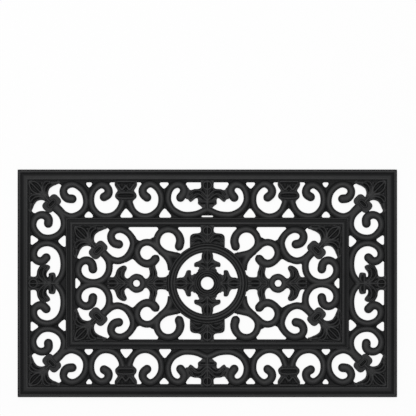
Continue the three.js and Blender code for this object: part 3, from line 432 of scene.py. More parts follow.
def lay_copies(mesh, node, sides):
    """Lays a section once for each named side, mirrored over the mat's centre lines."""
    for side, (x, y) in sides.items():
        copy = mesh.copy()
        copy.transform(Matrix.Diagonal((x, y, 1, 1)))
        if x * y < 0:
            copy.flip_normals()
        lay(copy, f"{node}_{side}")
    bpy.data.meshes.remove(mesh)


BACK_AND_FRONT = {"back": (1, 1), "front": (1, -1)}
LEFT_AND_RIGHT = {"right": (1, 1), "left": (-1, 1)}
QUARTERS = {"back_right": (1, 1), "front_right": (1, -1), "back_left": (-1, 1), "front_left": (-1, -1)}

# The middle line of each scroll, as shares of the box between its two contacts and the two frames
PALMETTE_SCROLL = [
    (0, 0.165), (0.115, 0.1), (0.255, 0.02), (0.42, -0.02), (0.605, -0.015), (0.755, 0.06),
    (0.885, 0.185), (0.97, 0.365), (1, 0.54), (0.965, 0.78), (0.87, 0.95), (0.73, 1.01),
    (0.615, 0.92), (0.59, 0.75), (0.68, 0.565),
]
LYRE_NEAR = [
    (1.015, 0.5), (0.965, 0.33), (0.88, 0.13), (0.725, -0.02), (0.52, -0.08), (0.325, -0.04),
    (0.16, 0.08), (0.045, 0.23), (-0.005, 0.45), (0.02, 0.69), (0.155, 0.915), (0.335, 1.025),
    (0.5, 0.955), (0.58, 0.82), (0.555, 0.68), (0.445, 0.57),
]
LYRE_FAR = [
    (-0.015, 0.5), (0.03, 0.33), (0.115, 0.15), (0.285, -0.01), (0.535, -0.075), (0.75, -0.025),
    (0.895, 0.1), (1, 0.28), (1.03, 0.5), (0.99, 0.725), (0.875, 0.89), (0.715, 0.99),
    (0.555, 0.955), (0.465, 0.835), (0.475, 0.68), (0.605, 0.585),
]
CORNER_ROW = [
    (1.42, 0.285), (1.19, 0.145), (0.985, 0.01), (0.665, -0.07), (0.35, -0.01), (0.12, 0.115),
    (-0.02, 0.31), (-0.025, 0.54), (0.08, 0.755), (0.3, 0.925), (0.565, 1.01), (0.83, 0.975),
    (1, 0.85), (0.995, 0.68), (0.84, 0.545), (0.61, 0.52),
]
CORNER_COLUMN = [
    (0.28, 1.36), (0.11, 1.12), (0.005, 0.91), (-0.045, 0.64), (-0.015, 0.38), (0.1, 0.16),
    (0.285, 0.01), (0.5, -0.04), (0.71, 0.02), (0.88, 0.215), (0.98, 0.455), (0.975, 0.7),
    (0.89, 0.9), (0.735, 1), (0.565, 0.955), (0.475, 0.81), (0.48, 0.61),
]
SIDE_SCROLL = [
    (0.245, 0), (0.13, 0.095), (0.03, 0.21), (-0.025, 0.355), (-0.035, 0.53), (0.01, 0.715),
    (0.12, 0.865), (0.3, 0.97), (0.51, 1.01), (0.715, 0.98), (0.875, 0.9), (0.965, 0.78),
    (0.95, 0.645), (0.835, 0.565), (0.68, 0.56), (0.55, 0.645),
]

# Solid parts of the low cusps, each drawn on both sides of the open gap between two scrolls
LEFT_CUSP = [(-34, -2), (-15, -2), (-15, 1), (-7, 11), (0, 19), (0, 44), (-12, 20)]
RIGHT_CUSP = [(34, -2), (12, 20), (0, 44), (0, 19), (7, 10), (12, 1), (12, -2)]
CORNER_GAP_LEFT = [(-34, -2), (-10, -2), (-10, 0.7), (-5.5, 7.8), (0, 13), (0, 44), (-12, 20)]
CORNER_GAP_RIGHT = [(34, -2), (12, 20), (0, 44), (0, 13), (5.5, 7.8), (9.8, 0.7), (9.8, -2)]
HIGH_LEFT = [(0, 30), (1, 56.5), (-12, 71), (-12, 74), (-30, 74), (-30, 71), (-9, 57), (-7, 46)]
HIGH_RIGHT = [(0, 30), (7, 46), (9, 57), (30, 71), (30, 74), (14, 74), (14, 71), (1, 56.5)]
CORNER_HIGH_LEFT = [(0, 30), (-0.8, 58.5), (-10, 71), (-10, 74), (-30, 74), (-30, 71), (-9, 57), (-7, 46)]
CORNER_HIGH_RIGHT = [(0, 30), (7, 46), (9, 57), (30, 71), (30, 74), (8, 74), (8, 71), (-0.8, 58.5)]
ROW_STEM = [(-30, -2), (30, -2), (14, 10), (0, 16), (-14, 10)]

# Only the stem at the back is open, in a slot beside the inner frame
OPEN_STEM = [
    (-30, -2), (-13.8, -2), (-13.8, 0.6), (-12.5, 4.2), (12.5, 4.2), (13.8, 0.6), (13.8, -2),
    (30, -2), (14, 10), (0, 16), (-14, 10),
]
PALMETTE_LIP = [(0.536, 1.12), (0.6488, 1.12), (0.5398, 0.9122)]
CORNER_LIP = [(1.33, 1.12), (0.8116, 1.12), (1.0665, 0.8785), (1.12, 0.985), (1.2, 1.02), (1.33, 1.03)]


def add_row_cusps(slab, contact):
    """Webs above and below the place where two scrolls of a long side touch."""
    narrow = contact == "lyre_to_corner"
    cusps = [CORNER_GAP_LEFT, CORNER_GAP_RIGHT] if narrow else [LEFT_CUSP, RIGHT_CUSP]
    if contact != "vase":
        cusps += [CORNER_HIGH_LEFT, CORNER_HIGH_RIGHT] if narrow else [HIGH_LEFT, HIGH_RIGHT]
    for shares in cusps:
        add_plate(slab, band_places(CONTACTS[contact], shares), WEB_TOP)


def row_bar(bars, slab, shares, start, end, lip=None, root_width=0):
    """A scroll of a long side, between two contacts, with the web to the frame's lip if it has one."""
    span = (start + HALF_BAR, end - HALF_BAR)
    add_bar(bars, slab, in_box(shares, span, ROW_LINE), root_width=root_width)
    if lip:
        add_plate(slab, in_box(lip, span, ROW_LINE), WEB_TOP)


def add_row_strips(slab, start, end):
    """The edges of the two frames along a stretch of a long side."""
    add_strip(slab, (start, end), (INNER_HALF.y - LIP_WIDTH, INNER_HALF.y))
    add_strip(slab, (start, end), (OUTER_OPENING.y, OUTER_OPENING.y + 2 * LIP_WIDTH))


def row_cell(start, end):
    """Planes that close a section of a long side between two contacts."""
    return [
        ((end, 0, 0), (1, 0, 0)),
        ((start, 0, 0), (-1, 0, 0)),
        ((0, INNER_HALF.y, 0), (0, -1, 0)),
        ((0, OUTER_OPENING.y + LIP_WIDTH, 0), (0, 1, 0)),
    ]


reach = CONTACTS["palmette_to_lyre"]
for side, stem in (("back", OPEN_STEM), ("front", ROW_STEM)):
    bars, slab = bmesh.new(), bmesh.new()
    row_bar(bars, slab, PALMETTE_SCROLL, -HALF_BAR, reach, PALMETTE_LIP)
    add_row_cusps(slab, "palmette_to_lyre")
    add_mirrored(bars, "X")
    add_mirrored(slab, "X")
    add_row_strips(slab, -reach - FILLET_RADIUS, reach + FILLET_RADIUS)
    add_plate(slab, band_places(0, stem), WEB_TOP)
    pair_mesh = trimmed(moulded_scrolls(bars, slab), row_cell(-reach, reach))
    lay_copies(pair_mesh, "border_scroll_pair", {side: BACK_AND_FRONT[side]})

bars, slab = bmesh.new(), bmesh.new()
lyre_start, lyre_end = CONTACTS["palmette_to_lyre"], CONTACTS["lyre_to_corner"]
row_bar(bars, slab, LYRE_NEAR, lyre_start, CONTACTS["vase"])
row_bar(bars, slab, LYRE_FAR, CONTACTS["vase"], lyre_end)
for contact in ("palmette_to_lyre", "vase", "lyre_to_corner"):
    add_row_cusps(slab, contact)
add_row_strips(slab, lyre_start - FILLET_RADIUS, lyre_end + FILLET_RADIUS)
lay_copies(trimmed(moulded_scrolls(bars, slab), row_cell(lyre_start, lyre_end)), "border_lyre", QUARTERS)


# Border scrolls at the corners and the short sides: the same bars, turned round the corner of the
# inner frame. The two corner scrolls share one trunk, and the side pair grows from a common stem.

SIDE_LOW_IN = [(-2, -36), (12, -12), (42, 0), (16, -1.5), (8.5, -9.5), (0.6, -15.5), (-2, -15.5)]
SIDE_LOW_OUT = [(-2, 36), (-2, 11.5), (0.6, 11.5), (9, 4.5), (16, -1.5), (42, 0), (12, 12)]
SIDE_HIGH_IN = [(30, 0), (46, -7), (57, -9), (71, -30), (74, -30), (74, -12), (71, -12), (53.5, 0.5)]
SIDE_HIGH_OUT = [(30, 0), (53.5, 0.5), (71, 12.2), (74, 12.2), (74, 30), (71, 30), (57, 9), (46, 7)]
SIDE_LIP = [(1.12, 0.5572), (1.12, 0.6641), (0.9206, 0.6138)]
COLUMN_LIP = [(1.12, 1.22), (1.12, 0.7591), (0.8701, 1.0629), (0.985, 1.1), (1.02, 1.14), (1.03, 1.22)]
SIDE_STEM = [(-2, -34), (8, -16), (20, 0), (8, 16), (-2, 34)]
CORNER_TRUNK = [(-26, -2), (-2, -2), (-2, -26), (8, -8), (16, 16), (-8, 8)]


def side_places(y, shares):
    """Border drawing on a short side: out from the inner frame, and along from y, in band steps."""
    return [Vector((INNER_HALF.x + out * BAND_STEP, y + up * BAND_STEP, 0)) for out, up in shares]


def add_side_cusps(slab):
    """Webs on both sides of the place where two scrolls of a short side touch."""
    for shares in (SIDE_LOW_IN, SIDE_LOW_OUT, SIDE_HIGH_IN, SIDE_HIGH_OUT):
        add_plate(slab, side_places(CONTACTS["side"], shares), WEB_TOP)


def column_bar(bars, slab, shares, span, lip, root_width=0):
    """A scroll of a short side in its stretch, with the web to the frame's lip."""
    add_bar(bars, slab, in_box(shares, COLUMN_LINE, span), root_width=root_width)
    add_plate(slab, in_box(lip, COLUMN_LINE, span), WEB_TOP)


def add_column_strips(slab, start, end):
    """The edges of the two frames along a stretch of a short side."""
    add_strip(slab, (INNER_HALF.x - LIP_WIDTH, INNER_HALF.x), (start, end))
    add_strip(slab, (OUTER_OPENING.x, OUTER_OPENING.x + 2 * LIP_WIDTH), (start, end))


bars, slab = bmesh.new(), bmesh.new()
corner_span = (CONTACTS["side"] + HALF_BAR, CORNER_COLUMN_END - HALF_BAR)
row_bar(bars, slab, CORNER_ROW, CONTACTS["lyre_to_corner"], CORNER_SCROLL_END, CORNER_LIP, TRUNK_WIDTH)
column_bar(bars, slab, CORNER_COLUMN, corner_span, COLUMN_LIP, TRUNK_WIDTH)
add_row_cusps(slab, "lyre_to_corner")
add_side_cusps(slab)
add_plate(slab, side_places(INNER_HALF.y, CORNER_TRUNK), WEB_TOP)
add_row_strips(slab, CONTACTS["lyre_to_corner"] - FILLET_RADIUS, INNER_HALF.x)
add_column_strips(slab, CONTACTS["side"] - FILLET_RADIUS, INNER_HALF.y)
corner_cell = [
    ((CONTACTS["lyre_to_corner"], 0, 0), (-1, 0, 0)),
    ((0, CONTACTS["side"], 0), (0, -1, 0)),
    ((0, OUTER_OPENING.y + LIP_WIDTH, 0), (0, 1, 0)),
    ((OUTER_OPENING.x + LIP_WIDTH, 0, 0), (1, 0, 0)),
]
lay_copies(trimmed(moulded_scrolls(bars, slab), corner_cell), "border_corner_scrolls", QUARTERS)

bars, slab = bmesh.new(), bmesh.new()
column_bar(bars, slab, SIDE_SCROLL, (0, CONTACTS["side"] - HALF_BAR), SIDE_LIP)
add_side_cusps(slab)
add_mirrored(bars, "Y")
add_mirrored(slab, "Y")
add_column_strips(slab, -CONTACTS["side"] - FILLET_RADIUS, CONTACTS["side"] + FILLET_RADIUS)
add_plate(slab, side_places(0, SIDE_STEM), WEB_TOP)
side_cell = [
    ((0, CONTACTS["side"], 0), (0, 1, 0)),
    ((0, -CONTACTS["side"], 0), (0, -1, 0)),
    ((INNER_HALF.x, 0, 0), (-1, 0, 0)),
    ((OUTER_OPENING.x + LIP_WIDTH, 0, 0), (1, 0, 0)),
]
lay_copies(trimmed(moulded_scrolls(bars, slab), side_cell), "border_scroll_pair", LEFT_AND_RIGHT)


# Border palmettes: a bud in a ring over two hooked leaves. Each is moulded as a rounded plate with
# hollows sunk beside its stem and along its leaves, so that the ribs between them stand out.

FACE_TOP = 0.0079
RIB_TOP = 0.0097
STEM_TOP = 0.0099
HOLLOW_FLOOR = 0.0030
RIB_WIDTH = 0.0044
STEM_WIDTH = 0.0058
MIDRIB_WIDTH = 0.0036
BUD_RADIUS = 8.3
ORNAMENT_VOXEL = 0.00065
ORNAMENT_SMOOTHING = 2
RIB_SPACING = 0.0008
OUTLINE_SPACING = 0.0015

# A rib's section, flatter on its crown than a bar's
RIB_SECTION = [
    (-1, 0), (1, 0), (1, 0.78), (0.94, 0.87), (0.76, 0.94), (0.46, 0.983), (0.15, 1), (-0.15, 1),
    (-0.46, 0.983), (-0.76, 0.94), (-0.94, 0.87), (-1, 0.78),
]


def flipped(shares):
    """A drawing mirrored over its middle line."""
    return [(-across, along) for across, along in shares]


def both_sides(shares):
    """The right half of an outline and its mirror image, as one closed line."""
    return shares + flipped(shares)[::-1]


def add_rib(mould, places, width=RIB_WIDTH, tip=0.7, top=RIB_TOP):
    """A raised round rib that narrows towards its tip."""

    def half_at(share):
        return width / 2 * (1 + (tip - 1) * share)

    route = smooth_route(places, RIB_SPACING)
    sweep(mould, route, half_at, lambda share: top - BASE, domed_start=True, section=RIB_SECTION)


def add_rib_pairs(mould, place, drawings):
    """Ribs drawn for the right half, and their mirror images."""
    for shares in drawings:
        add_rib(mould, place(shares))
        add_rib(mould, place(flipped(shares)))


def add_ring_rib(mould, places, width=RIB_WIDTH, top=RIB_TOP):
    """A raised rib that closes on itself."""
    route = smooth_route(places, RIB_SPACING, closed=True)
    route += route[:2]
    sweep(mould, route, lambda share: width / 2, lambda share: top - BASE, section=RIB_SECTION)


def hollow(places, width, ends):
    """A mould for a hollow along a curve, widest in its middle."""
    mould = bmesh.new()

    def half_at(share):
        return width / 2 * (ends + (1 - ends) * math.sin(math.pi * share))

    route = smooth_route(places, RIB_SPACING)
    sweep(mould, route, half_at, lambda share: THICKNESS, foot=HOLLOW_FLOOR, domed_start=True)
    return mould


def carved(place, outline, hollows):
    """A rounded plate with hollows sunk in it: each a curve, its width and the share of it at the ends.

    A hollow that starts in the right half is sunk in the left one too; the others lie across the middle.
    """
    plate = bmesh.new()
    rounded = smooth_route(place(both_sides(outline)), OUTLINE_SPACING, closed=True)
    add_plate(plate, rounded, FACE_TOP)
    mesh = mesh_of(plate)
    for shares, width, ends in hollows:
        for side in (shares, flipped(shares)) if shares[0][0] > 0 else (shares,):
            mesh = cut(mesh, hollow(place(side), width, ends), folded=True)
    mould = bmesh.new()
    mould.from_mesh(mesh)
    return mould


def ornament(mould):
    """Moulds an ornament's plate and ribs into one skin."""
    return moulded(mould, ORNAMENT_VOXEL, ORNAMENT_SMOOTHING)


def bud(middle, radius=BUD_RADIUS):
    """The ring of a bud, drawn as eight places round its middle."""
    turns = [math.radians(45 * i) for i in range(8)]
    return [(radius * math.cos(turn), middle + radius * math.sin(turn)) for turn in turns]


def bud_hollow(middle):
    """The hollow between a bud's ring and its midrib."""
    return ([(2.6, middle - 5.6), (4.0, middle), (2.6, middle + 5.6)], 0.0046, 0.35)


# Drawn in band steps, across the middle and out from the inner frame. Each hollow also gives its
# width in metres and the share of that width at its ends.
PALMETTE_EDGE = [
    (8, 18), (13.6, 23), (18.9, 27.5), (18.7, 32.4), (19.9, 38.1), (24, 37.6), (29, 33.4),
    (34, 31), (38.5, 36), (43, 37.5), (43, 60), (38.5, 60), (34, 55), (26, 56.8), (17, 57.4),
    (13, 60), (12.7, 66), (12.7, 75),
]
PALMETTE_BUD = 64.2
PALMETTE_HOLLOWS = [
    bud_hollow(PALMETTE_BUD),
    ([(10.4, 57), (8.2, 53), (5.6, 49.6), (3.6, 45.5)], 0.0030, 0.4),
    ([(11, 45.3), (15.7, 50), (21, 51.3), (25.5, 49.5), (29.3, 45)], 0.0034, 0.3),
    ([(7, 35.2), (10.4, 39), (14.8, 42), (19.3, 42.2), (23.7, 39.4)], 0.0031, 0.3),
    ([(4.6, 27.4), (8.5, 27.7), (13.5, 27.1)], 0.0027, 0.5),
]
PALMETTE_RIBS = [
    [(2, 42), (9, 50.3), (15.7, 54), (23, 54.4), (30, 51.5), (35, 46)],
    [(1, 34), (7.7, 40.5), (14.8, 46), (21, 47.1), (28, 44), (33.5, 38.5)],
    [(0, 31), (8, 31.3), (16.5, 31)],
]
PALMETTE_MIDRIB = [(0, 55), (0, 65), (0, 75)]
PALMETTE_STEM = [(0, 14), (0, 35), (0, 57)]


def palmette_places(shares):
    """Places of a palmette's drawing, at the middle of the back side."""
    return band_places(0, shares)


palmette = carved(palmette_places, PALMETTE_EDGE, PALMETTE_HOLLOWS)
add_ring_rib(palmette, palmette_places(bud(PALMETTE_BUD)))
add_rib(palmette, palmette_places(PALMETTE_MIDRIB), width=MIDRIB_WIDTH, tip=1, top=STEM_TOP)
add_rib(palmette, palmette_places(PALMETTE_STEM), width=STEM_WIDTH, top=STEM_TOP)
add_rib_pairs(palmette, palmette_places, PALMETTE_RIBS)
back_lip_cell = [((0, OUTER_OPENING.y + LIP_WIDTH, 0), (0, 1, 0))]
lay_copies(trimmed(ornament(palmette), back_lip_cell), "border_palmette", BACK_AND_FRONT)

SIDE_EDGE = [
    (8, 19.5), (16, 20), (21, 22.5), (21.5, 28), (19.5, 33.5), (14, 34.2), (12.3, 36), (15, 38),
    (21, 37.5), (30, 31.5), (34, 31.5), (37, 36), (38, 40), (42, 40), (42, 51), (36, 51.5),
    (26, 56.5), (15, 59), (13.2, 66), (15, 75),
]
SIDE_BUD = 64.6
SIDE_HOLLOWS = [
    bud_hollow(SIDE_BUD),
    ([(9.4, 57), (7.2, 53), (5, 50), (3.6, 46.5)], 0.0028, 0.4),
    ([(11.2, 44.8), (15.7, 48.8), (21, 50), (25.5, 48.8), (30, 44.8)], 0.0044, 0.3),
    ([(8.6, 35), (13, 38.4), (17.5, 40.3), (22, 40.4), (26.5, 38.6)], 0.0036, 0.3),
    ([(4.8, 26.2), (10, 26.2), (15.5, 26.5)], 0.0030, 0.5),
]
SIDE_RIBS = [
    [(2, 40), (8, 48), (15, 53), (22, 54.3), (30, 51), (36, 44)],
    [(2.3, 33), (6.8, 39.6), (14, 44), (21, 45.2), (28, 43.2), (33.5, 38.8)],
    [(0, 31), (9, 31), (18, 30.8)],
]
SIDE_MIDRIB = [(0, 57), (0, 65), (0, 75)]
SIDE_STALK = [(0, 14), (0, 35), (0, 58)]


def side_palmette_places(shares):
    """The side palmette is drawn upright: its width runs along the side, its height outwards."""
    return side_places(0, [(up, across) for across, up in shares])


side_palmette = carved(side_palmette_places, SIDE_EDGE, SIDE_HOLLOWS)
add_ring_rib(side_palmette, side_palmette_places(bud(SIDE_BUD)))
add_rib(side_palmette, side_palmette_places(SIDE_MIDRIB), width=MIDRIB_WIDTH, top=STEM_TOP)
add_rib(side_palmette, side_palmette_places(SIDE_STALK), width=STEM_WIDTH, top=STEM_TOP)
add_rib_pairs(side_palmette, side_palmette_places, SIDE_RIBS)
side_lip_cell = [((OUTER_OPENING.x + LIP_WIDTH, 0, 0), (1, 0, 0))]
lay_copies(trimmed(ornament(side_palmette), side_lip_cell), "border_palmette", LEFT_AND_RIGHT)


# Border vases: a flared top with a zigzag lip over a collar, standing on the lyre's two legs.
# Each is moulded as a rounded plate with sunk panels above the zigzag, below it and in the collar.

VASE_EDGE = [
    (13, 28), (14.5, 33), (18, 36.5), (20.8, 39.5), (21.6, 43), (20.2, 48), (17, 52.3), (17, 55),
    (19.5, 59), (22, 63.5), (22.3, 69), (20, 76),
]
VASE_HOLLOWS = [
    ([(-14.5, 68.6), (0, 68.6), (14.5, 68.6)], 0.0038, 0.9),
    ([(7.7, 72), (7.7, 66), (7.7, 60)], 0.0070, 0.35),
    ([(0, 53.2), (0, 55.5), (0, 58.5)], 0.0060, 0.35),
    ([(-12.5, 43.9), (0, 43.9), (12.5, 43.9)], 0.0046, 0.95),
    ([(0, 25), (0, 29), (0, 33)], 0.0040, 0.5),
]
VASE_ZIGZAG = [
    (-17, 66.5), (-12.5, 61), (-7.6, 55.6), (-3.8, 59.5), (0, 63.2), (3.8, 59.5), (7.6, 55.6),
    (12.5, 61), (17, 66.5),
]
VASE_COLLAR = [(-15, 39.1), (15, 39.1), (18.6, 43.9), (15, 48.7), (-15, 48.7), (-18.6, 43.9)]
VASE_BRIM = [(-18, 71.8), (0, 71.8), (18, 71.8)]
ZIGZAG_WIDTH = 0.0046


def vase_places(shares):
    """Places of a vase's drawing, between the two scrolls of its lyre."""
    return band_places(CONTACTS["vase"], shares)


vase = carved(vase_places, VASE_EDGE, VASE_HOLLOWS)
add_rib(vase, vase_places(VASE_ZIGZAG), width=ZIGZAG_WIDTH, tip=1, top=STEM_TOP)
add_rib(vase, vase_places(VASE_BRIM), tip=1)
add_ring_rib(vase, vase_places(VASE_COLLAR))
lay_copies(trimmed(ornament(vase), back_lip_cell), "border_vase", QUARTERS)


# Corner ornaments, one set in the border and one in the field: a clip with a slot across the
# diagonal, and behind it a pointed leaf between two fluted hooks, moulded as the palmettes are.

CLIP_HALF_LENGTH = 0.0190
CLIP_HALF_WIDTH = 0.0122
CLIP_CORNER = 0.0080
CLIP_TOP = 0.0080
CLIP_SLOT = (0.0070, 0.0020)
SLOT_RIM_WIDTH = 0.003
SLOT_RIM_TOP = 0.0096
CLIP_SMOOTHING = 4
NEARLY_HALF_ROUND = 0.99  # share of a slot's half width that its ends are rounded by
INNER_OPENING = INNER_HALF - Vector((INNER_FRAME_WIDTH, INNER_FRAME_WIDTH))
FIELD_STEP = INNER_OPENING.y / 111

# The leaf is drawn along the diagonal, in steps across it and towards the corner
LEAF_EDGE = [
    (6, -52), (6.4, -45), (8.6, -41), (11.6, -38.5), (15, -36.4), (19, -35.6), (27, -37),
    (33, -39.5), (38, -41.5), (42, -43.5), (42, -34), (21, -13),
]
LEAF_TIP = 8
LEAF_HOLLOWS = [
    ([(2.7, -26), (4.5, -19), (4.8, -11), (2.9, -3)], 0.0056, 0.25),
    ([(10.4, -5.6), (14.6, -11.4), (19.5, -16.5)], 0.0042, 0.6),
    ([(12.6, -13.5), (11, -18), (8.6, -23.5)], 0.0026, 0.5),
    ([(13, -26), (18.4, -23.8), (24, -24.4)], 0.0026, 0.4),
    ([(8.6, -35.4), (13.5, -31.9), (19.9, -30), (27, -31.7)], 0.0032, 0.4),
    ([(31, -27), (35, -31), (39, -35)], 0.0030, 0.6),
]
HOOK_RIBS = [
    [(1.6, -39.4), (3.3, -32.7), (7.1, -26.8), (12.3, -22), (18.4, -19.8), (24.4, -20.9), (29, -26.5)],
    [(2.6, -41), (5.5, -35.5), (9, -30.8), (14.9, -27.4), (21.9, -26.5), (27.5, -28.5)],
    [(4, -45), (7.5, -39.5), (12, -36), (18, -33.8), (25.8, -34.8), (33, -38)],
]
LEAF_RIM = [
    (0, -30), (5.8, -25.5), (9, -17.5), (8.7, -9), (5, -2), (0, 3.5), (-5, -2), (-8.7, -9),
    (-9, -17.5), (-5.8, -25.5),
]
LEAF_MIDRIB = [(0, -27), (0, -12), (0, 3)]
LEAF_NECK = [(0, -54), (0, -42), (0, -29)]
LEAF_RIM_WIDTH = 0.0040


def diagonal_place(corner, step, shift):
    """Places a drawing made along a corner's diagonal: across it, and along it to the corner."""

    def place(shares):
        return [
            Vector((
                corner.x + (along + shift + across) * step / math.sqrt(2),
                corner.y + (along + shift - across) * step / math.sqrt(2),
                0,
            ))
            for across, along in shares
        ]

    return place


def round_rectangle(half_long, half_short, radius, middle):
    """A rounded rectangle with its long side across the diagonal."""
    points = []
    for quarter, (x, y) in enumerate(((1, 1), (-1, 1), (-1, -1), (1, -1))):
        for step in range(5):
            angle = math.radians(90 * quarter + 22.5 * step)
            point = Vector((
                x * (half_long - radius) + radius * math.cos(angle),
                y * (half_short - radius) + radius * math.sin(angle),
                0,
            ))
            point.rotate(Matrix.Rotation(math.radians(-45), 3, "Z"))
            points.append(point + middle)
    return points


def clip_mesh(middle):
    """A rounded clip with a slot across its middle and a raised rim round the slot."""
    clip, slot = bmesh.new(), bmesh.new()
    add_plate(clip, round_rectangle(CLIP_HALF_LENGTH, CLIP_HALF_WIDTH, CLIP_CORNER, middle), CLIP_TOP)
    length, width = CLIP_SLOT
    around = SLOT_RIM_WIDTH / 2
    rim_half = width + around
    rim = round_rectangle(length + around, rim_half, rim_half * NEARLY_HALF_ROUND, middle)
    add_ring_rib(clip, rim, width=SLOT_RIM_WIDTH, top=SLOT_RIM_TOP)
    slot_outline = round_rectangle(length, width, width * NEARLY_HALF_ROUND, middle)
    add_plate(slot, slot_outline, THICKNESS * 2, HOLLOW_FLOOR)
    slotted = bmesh.new()
    slotted.from_mesh(cut(moulded(clip, ORNAMENT_VOXEL, CLIP_SMOOTHING), slot))
    return ornament(slotted)


def leaf_mesh(corner, step, shift):
    """The leaf behind a clip: a ribbed lens between two hooks, cut off under the frame's lip."""
    place = diagonal_place(corner, step, shift)
    leaf = carved(place, LEAF_EDGE + [(0, LEAF_TIP - shift)], LEAF_HOLLOWS)
    add_rib_pairs(leaf, place, HOOK_RIBS)
    add_ring_rib(leaf, place(LEAF_RIM), width=LEAF_RIM_WIDTH)
    add_rib(leaf, place(LEAF_MIDRIB), width=MIDRIB_WIDTH, tip=1, top=STEM_TOP)
    add_rib(leaf, place(LEAF_NECK), width=STEM_WIDTH, top=STEM_TOP)
    cell = [((corner.x + LIP_WIDTH, 0, 0), (1, 0, 0)), ((0, corner.y + LIP_WIDTH, 0), (0, 1, 0))]
    return trimmed(ornament(leaf), cell)


for name, corner, step, clip_shift, leaf_shift in (
    ("border", OUTER_OPENING, BAND_STEP, -59.5, 0),
    ("field", INNER_OPENING, FIELD_STEP, -63.8, -2.5),
):
    clip_middle = diagonal_place(corner, step, clip_shift)([(0, 0)])[0]
    lay_copies(clip_mesh(clip_middle), f"{name}_corner_clip", QUARTERS)
    lay_copies(leaf_mesh(corner, step, leaf_shift), f"{name}_corner_leaf", QUARTERS)


# Field scrolls: two corner scrolls that share the clip, and two hooks that grow from the
# medallion's ring. They are moulded as the border's are, with slightly thicker bars.

FIELD_BAR_WIDTH = 0.0140
HOOK_ROOT_HEIGHT = 0.68  # share of a hook's height where it leaves the ring
RING_RADIUS = 0.079
TO_BAR = VALLEY + FIELD_BAR_WIDTH / 2
FIELD_LINE = INNER_OPENING + Vector((LIP_WIDTH, LIP_WIDTH)) - Vector((1, 1)) * TO_BAR
FIELD_CONTACT = 0.563 * FIELD_LINE.x

# Bars and webs, as shares of the quarter field from the mat's centre to the bars along the frame
FIELD_UPPER = [
    (0.81, 0.58), (0.793, 0.538), (0.76, 0.475), (0.733, 0.438), (0.687, 0.418), (0.633, 0.468),
    (0.594, 0.58), (0.573, 0.729), (0.582, 0.835), (0.611, 0.935), (0.662, 1), (0.712, 0.985),
    (0.741, 0.915), (0.741, 0.825), (0.718, 0.75), (0.684, 0.7275),
]
FIELD_LOWER = [
    (0.81, 0.58), (0.783, 0.505), (0.763, 0.415), (0.757, 0.3), (0.767, 0.19), (0.798, 0.085),
    (0.84, 0.03), (0.885, 0.015), (0.937, 0.04), (0.978, 0.11), (0.998, 0.217), (0.992, 0.33),
    (0.963, 0.41), (0.924, 0.425), (0.893, 0.365), (0.884, 0.264),
]
UPPER_HOOK = [
    (0.273, 0.53), (0.322, 0.56), (0.361, 0.622), (0.386, 0.705), (0.391, 0.81), (0.375, 0.915),
    (0.344, 0.985), (0.301, 1.01), (0.255, 0.98), (0.222, 0.9), (0.209, 0.79), (0.218, 0.69),
]
LOWER_HOOK = [
    (0.287, 0.377), (0.309, 0.481), (0.345, 0.571), (0.385, 0.66), (0.425, 0.74), (0.471, 0.765),
    (0.517, 0.72), (0.543, 0.613), (0.541, 0.51), (0.514, 0.41), (0.468, 0.365), (0.425, 0.392),
    (0.402, 0.452),
]
TOUCH_WEB = [
    (0.535, 0.35), (0.576, 0.455), (0.63, 0.38), (0.645, 0.46), (0.6, 0.6), (0.593, 0.8),
    (0.574, 0.94), (0.551, 0.862), (0.543, 0.817), (0.524, 0.8), (0.5, 0.79), (0.527, 0.659),
    (0.54, 0.565), (0.507, 0.424),
]
NEAR_MEETING = [(0.76, -0.02), (0.765, 0.14), (0.8, 0.08), (0.84, -0.02)]
FAR_MEETING = [(0.935, -0.02), (0.955, 0.05), (0.985, 0.09), (0.985, -0.02)]
SHOULDER_WEB = [(0.39, 0.73), (0.445, 0.745), (0.443, 0.83), (0.425, 0.86), (0.395, 0.83)]
FIELD_LIPS = [
    [(0.6076, 1.07), (0.6595, 1.07), (0.6205, 0.9506)],
    [(0.83, 1.07), (0.7063, 1.07), (0.7454, 0.9318), (0.757, 1), (0.775, 1.03), (0.83, 1.035)],
    [(1.03, 0.58), (1.03, 0.3106), (0.9717, 0.4141), (0.995, 0.46), (1.01, 0.5), (1.014, 0.58)],
]
HOOK_LIPS = [
    [(0.2244, 1.07), (0.2732, 1.07), (0.238, 0.9553)],
    [(0.3887, 1.07), (0.3356, 1.07), (0.3707, 0.9506)],
]

# The two hooks leave the ring at these angles, with a web between them: out in ring radii, and round
LOWER_ROOT_ANGLE = 20
UPPER_ROOT_ANGLE = 44
ROOT_WEB = [(0.95, 1), (1.2, 0.654), (1.265, 0.504), (1.09, 0.296), (0.95, 0)]


def in_field(shares):
    """Shares of the quarter field as places on the mat."""
    return in_box(shares, (0, FIELD_LINE.x), (0, FIELD_LINE.y))


def around_ring(reach, share):
    """A place outside the ring, from the lower hook's root round to the upper one's."""
    angle = math.radians(LOWER_ROOT_ANGLE + (UPPER_ROOT_ANGLE - LOWER_ROOT_ANGLE) * share)
    return Vector((math.cos(angle), math.sin(angle), 0)) * reach * RING_RADIUS


def add_field_strips(slab):
    """The edge of the inner frame round the field."""
    add_strip(slab, (0, INNER_OPENING.x), (INNER_OPENING.y, INNER_OPENING.y + 2 * LIP_WIDTH))
    add_strip(slab, (INNER_OPENING.x, INNER_OPENING.x + 2 * LIP_WIDTH), (-LIP_WIDTH, INNER_OPENING.y))


